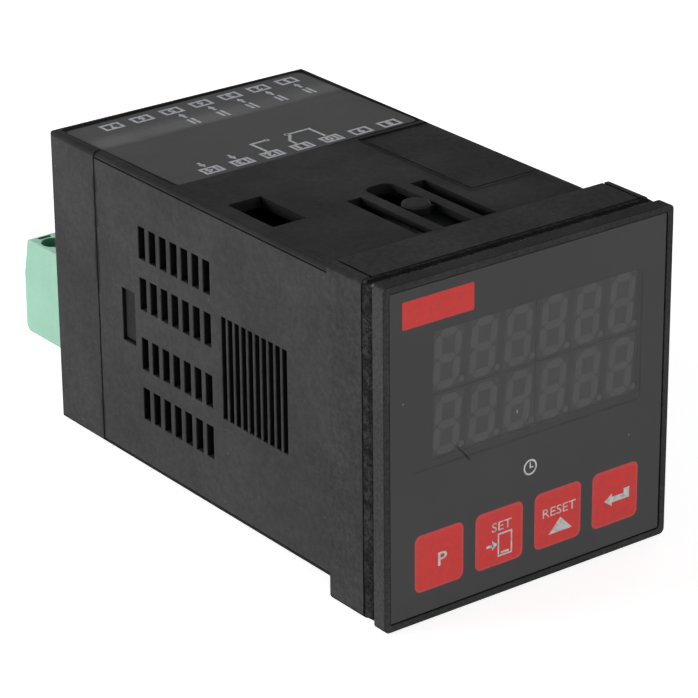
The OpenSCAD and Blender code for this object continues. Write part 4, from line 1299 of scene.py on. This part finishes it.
@dataclass
class Electronics:
    """Boards and what is soldered to them."""

    palette: Palette

    def build(self) -> None:
        """Dresses the boards and their parts."""
        dress(self.palette, {
            "board": ("display_board", "power_board", "control_board", "terminal_board"),
            "chip": ("display_driver", "bridge_rectifier", "voltage_regulator", "microcontroller",
                     "memory_chip", "start_optocoupler", "reset_optocoupler", "front_power_strip",
                     "front_control_strip", "rear_power_strip", "rear_control_strip"),
            "potting": ("transformer",), "relay": ("output_relay",), "sleeve": ("filter_capacitor",),
            "varistor": ("varistor",), "can": ("crystal",)})


@dataclass
class Terminals:
    """Headers at the rear and the plug in the lower one."""

    palette: Palette

    def build(self) -> None:
        """Dresses the terminals."""
        dress(self.palette, {
            "green": ("lower_header", "upper_header", "terminal_plug"),
            "tinned": ("lower_header_pins", "upper_header_pins", "terminal_screws", "clamp_cages"),
            "brass": ("plug_contacts",)})


@dataclass(frozen=True)
class Lamp:
    """A soft lamp that faces the timer, square or, where its height is given, oblong."""

    name: str
    azimuth: float
    elevation: float
    distance: float
    size: float
    power: float
    height: float = 0.0

    def build(self, target: Vector) -> None:
        """Hangs the lamp round a target."""
        data = bpy.data.lights.new(self.name, "AREA")
        data.energy = self.power
        data.size = self.size
        if self.height:
            data.shape = "RECTANGLE"
            data.size_y = self.height
        lamp = link(bpy.data.objects.new(self.name, data))
        azimuth, elevation = math.radians(self.azimuth), math.radians(self.elevation)
        toward = Vector((math.cos(elevation) * math.cos(azimuth), math.cos(elevation) * math.sin(azimuth),
                         math.sin(elevation)))
        lamp.location = target + toward * self.distance
        lamp.rotation_euler = (-toward).to_track_quat("-Z", "Y").to_euler()


@dataclass
class Studio:
    """Floor, lamps, background and camera."""

    eye: Vector = field(default_factory=lambda: Vector((-257.273, -309.259, 181.823)) * MM)
    aim: Vector = field(default_factory=lambda: Vector((0.550048, 0.735023, -0.396470)))
    roll: float = -0.554
    lens: float = 174.053
    floor_size: float = 3.0
    floor_shade: float = 0.8
    floor_glow: float = 0.80
    ambient: float = 0.08
    lamps: tuple[Lamp, ...] = (
        Lamp("left_lamp", 150.0, -1.0, 0.5, 0.4, 5.75),
        Lamp("right_lamp", 27.0, 0.0, 0.5, 0.3, 3.0, 0.045),
        Lamp("front_lamp", 270.0, 2.0, 1.1, 0.8, 9.2),
        Lamp("top_lamp", 60.0, 78.0, 1.2, 0.9, 0.4),
    )

    def floor_material(self) -> Material:
        """Pale floor that the camera sees as white, with the timer's shadow, and clear from below."""
        material = bpy.data.materials.new("studio_floor")
        material.use_nodes = True
        material.node_tree.nodes.clear()
        net = Net(material.node_tree)
        paint = net.add("BsdfDiffuse", {"Color": shade(self.floor_shade)})[0]
        glow = net.add("Emission", {"Color": WHITE, "Strength": net.times(net.seen(), self.floor_glow)})[0]
        lit = net.add("AddShader", {0: paint, 1: glow})[0]
        below = net.add("NewGeometry")["Backfacing"]
        clear = net.add("BsdfTransparent")[0]
        net.add("OutputMaterial", {"Surface": net.add("MixShader", {0: below, 1: lit, 2: clear})[0]})
        return material

    def floor(self) -> None:
        """Lays the floor under the two edges that the timer rests on."""
        collar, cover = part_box("retaining_frame"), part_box("rear_cover")
        slope = (cover[0].z - collar[0].z) / (cover[1].y - collar[1].y)
        half = self.floor_size / 2
        draft = MeshDraft()
        draft.face(draft.ring([Vector((x, y, collar[0].z + (y - collar[1].y) * slope))
                               for x, y in ((-half, -half), (half, -half), (half, half), (-half, half))]))
        floor = draft.piece("studio_floor", [self.floor_material()], closed=False)
        floor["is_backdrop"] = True

    def world(self) -> None:
        """White background, with a weaker light all round."""
        world = bpy.data.worlds.new("studio_world")
        bpy.context.scene.world = world
        world.use_nodes = True
        world.node_tree.nodes.clear()
        net = Net(world.node_tree)
        strength = net.remap(net.seen(), 0, 1, self.ambient, 1.0)
        net.add("OutputWorld", {"Surface": net.add("Background", {"Color": WHITE, "Strength": strength})[0]})

    def camera(self) -> None:
        """Sets the camera at the photograph's place."""
        data = bpy.data.cameras.new("photo_camera")
        data.lens = self.lens
        data.sensor_width = 36.0
        data.clip_start = 0.02
        camera = link(bpy.data.objects.new("photo_camera", data))
        forward = self.aim.normalized()
        right = forward.cross(Vector((0, 0, 1))).normalized()
        turn = Matrix((right, right.cross(forward), -forward)).transposed().to_4x4()
        roll = Matrix.Rotation(math.radians(self.roll), 4, "Z")
        camera.matrix_world = Matrix.Translation(self.eye) @ turn @ roll
        bpy.context.scene.camera = camera

    def build(self) -> None:
        """Sets up the studio."""
        low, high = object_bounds()
        for lamp in self.lamps:
            lamp.build((low + high) / 2)
        self.floor()
        self.world()
        self.camera()
        bpy.context.scene.view_settings.view_transform = "Standard"


def main() -> None:
    """Builds the sub-assemblies in order."""
    logging.basicConfig(level=logging.INFO, format="%(name)s %(message)s")
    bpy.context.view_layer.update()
    palette = build_palette()
    for assembly in (CaseShell, FrontPanel, FoamSeal, TopLabel, Electronics, Terminals):
        assembly(palette).build()
    Studio().build()


if __name__ == "__main__":
    main()
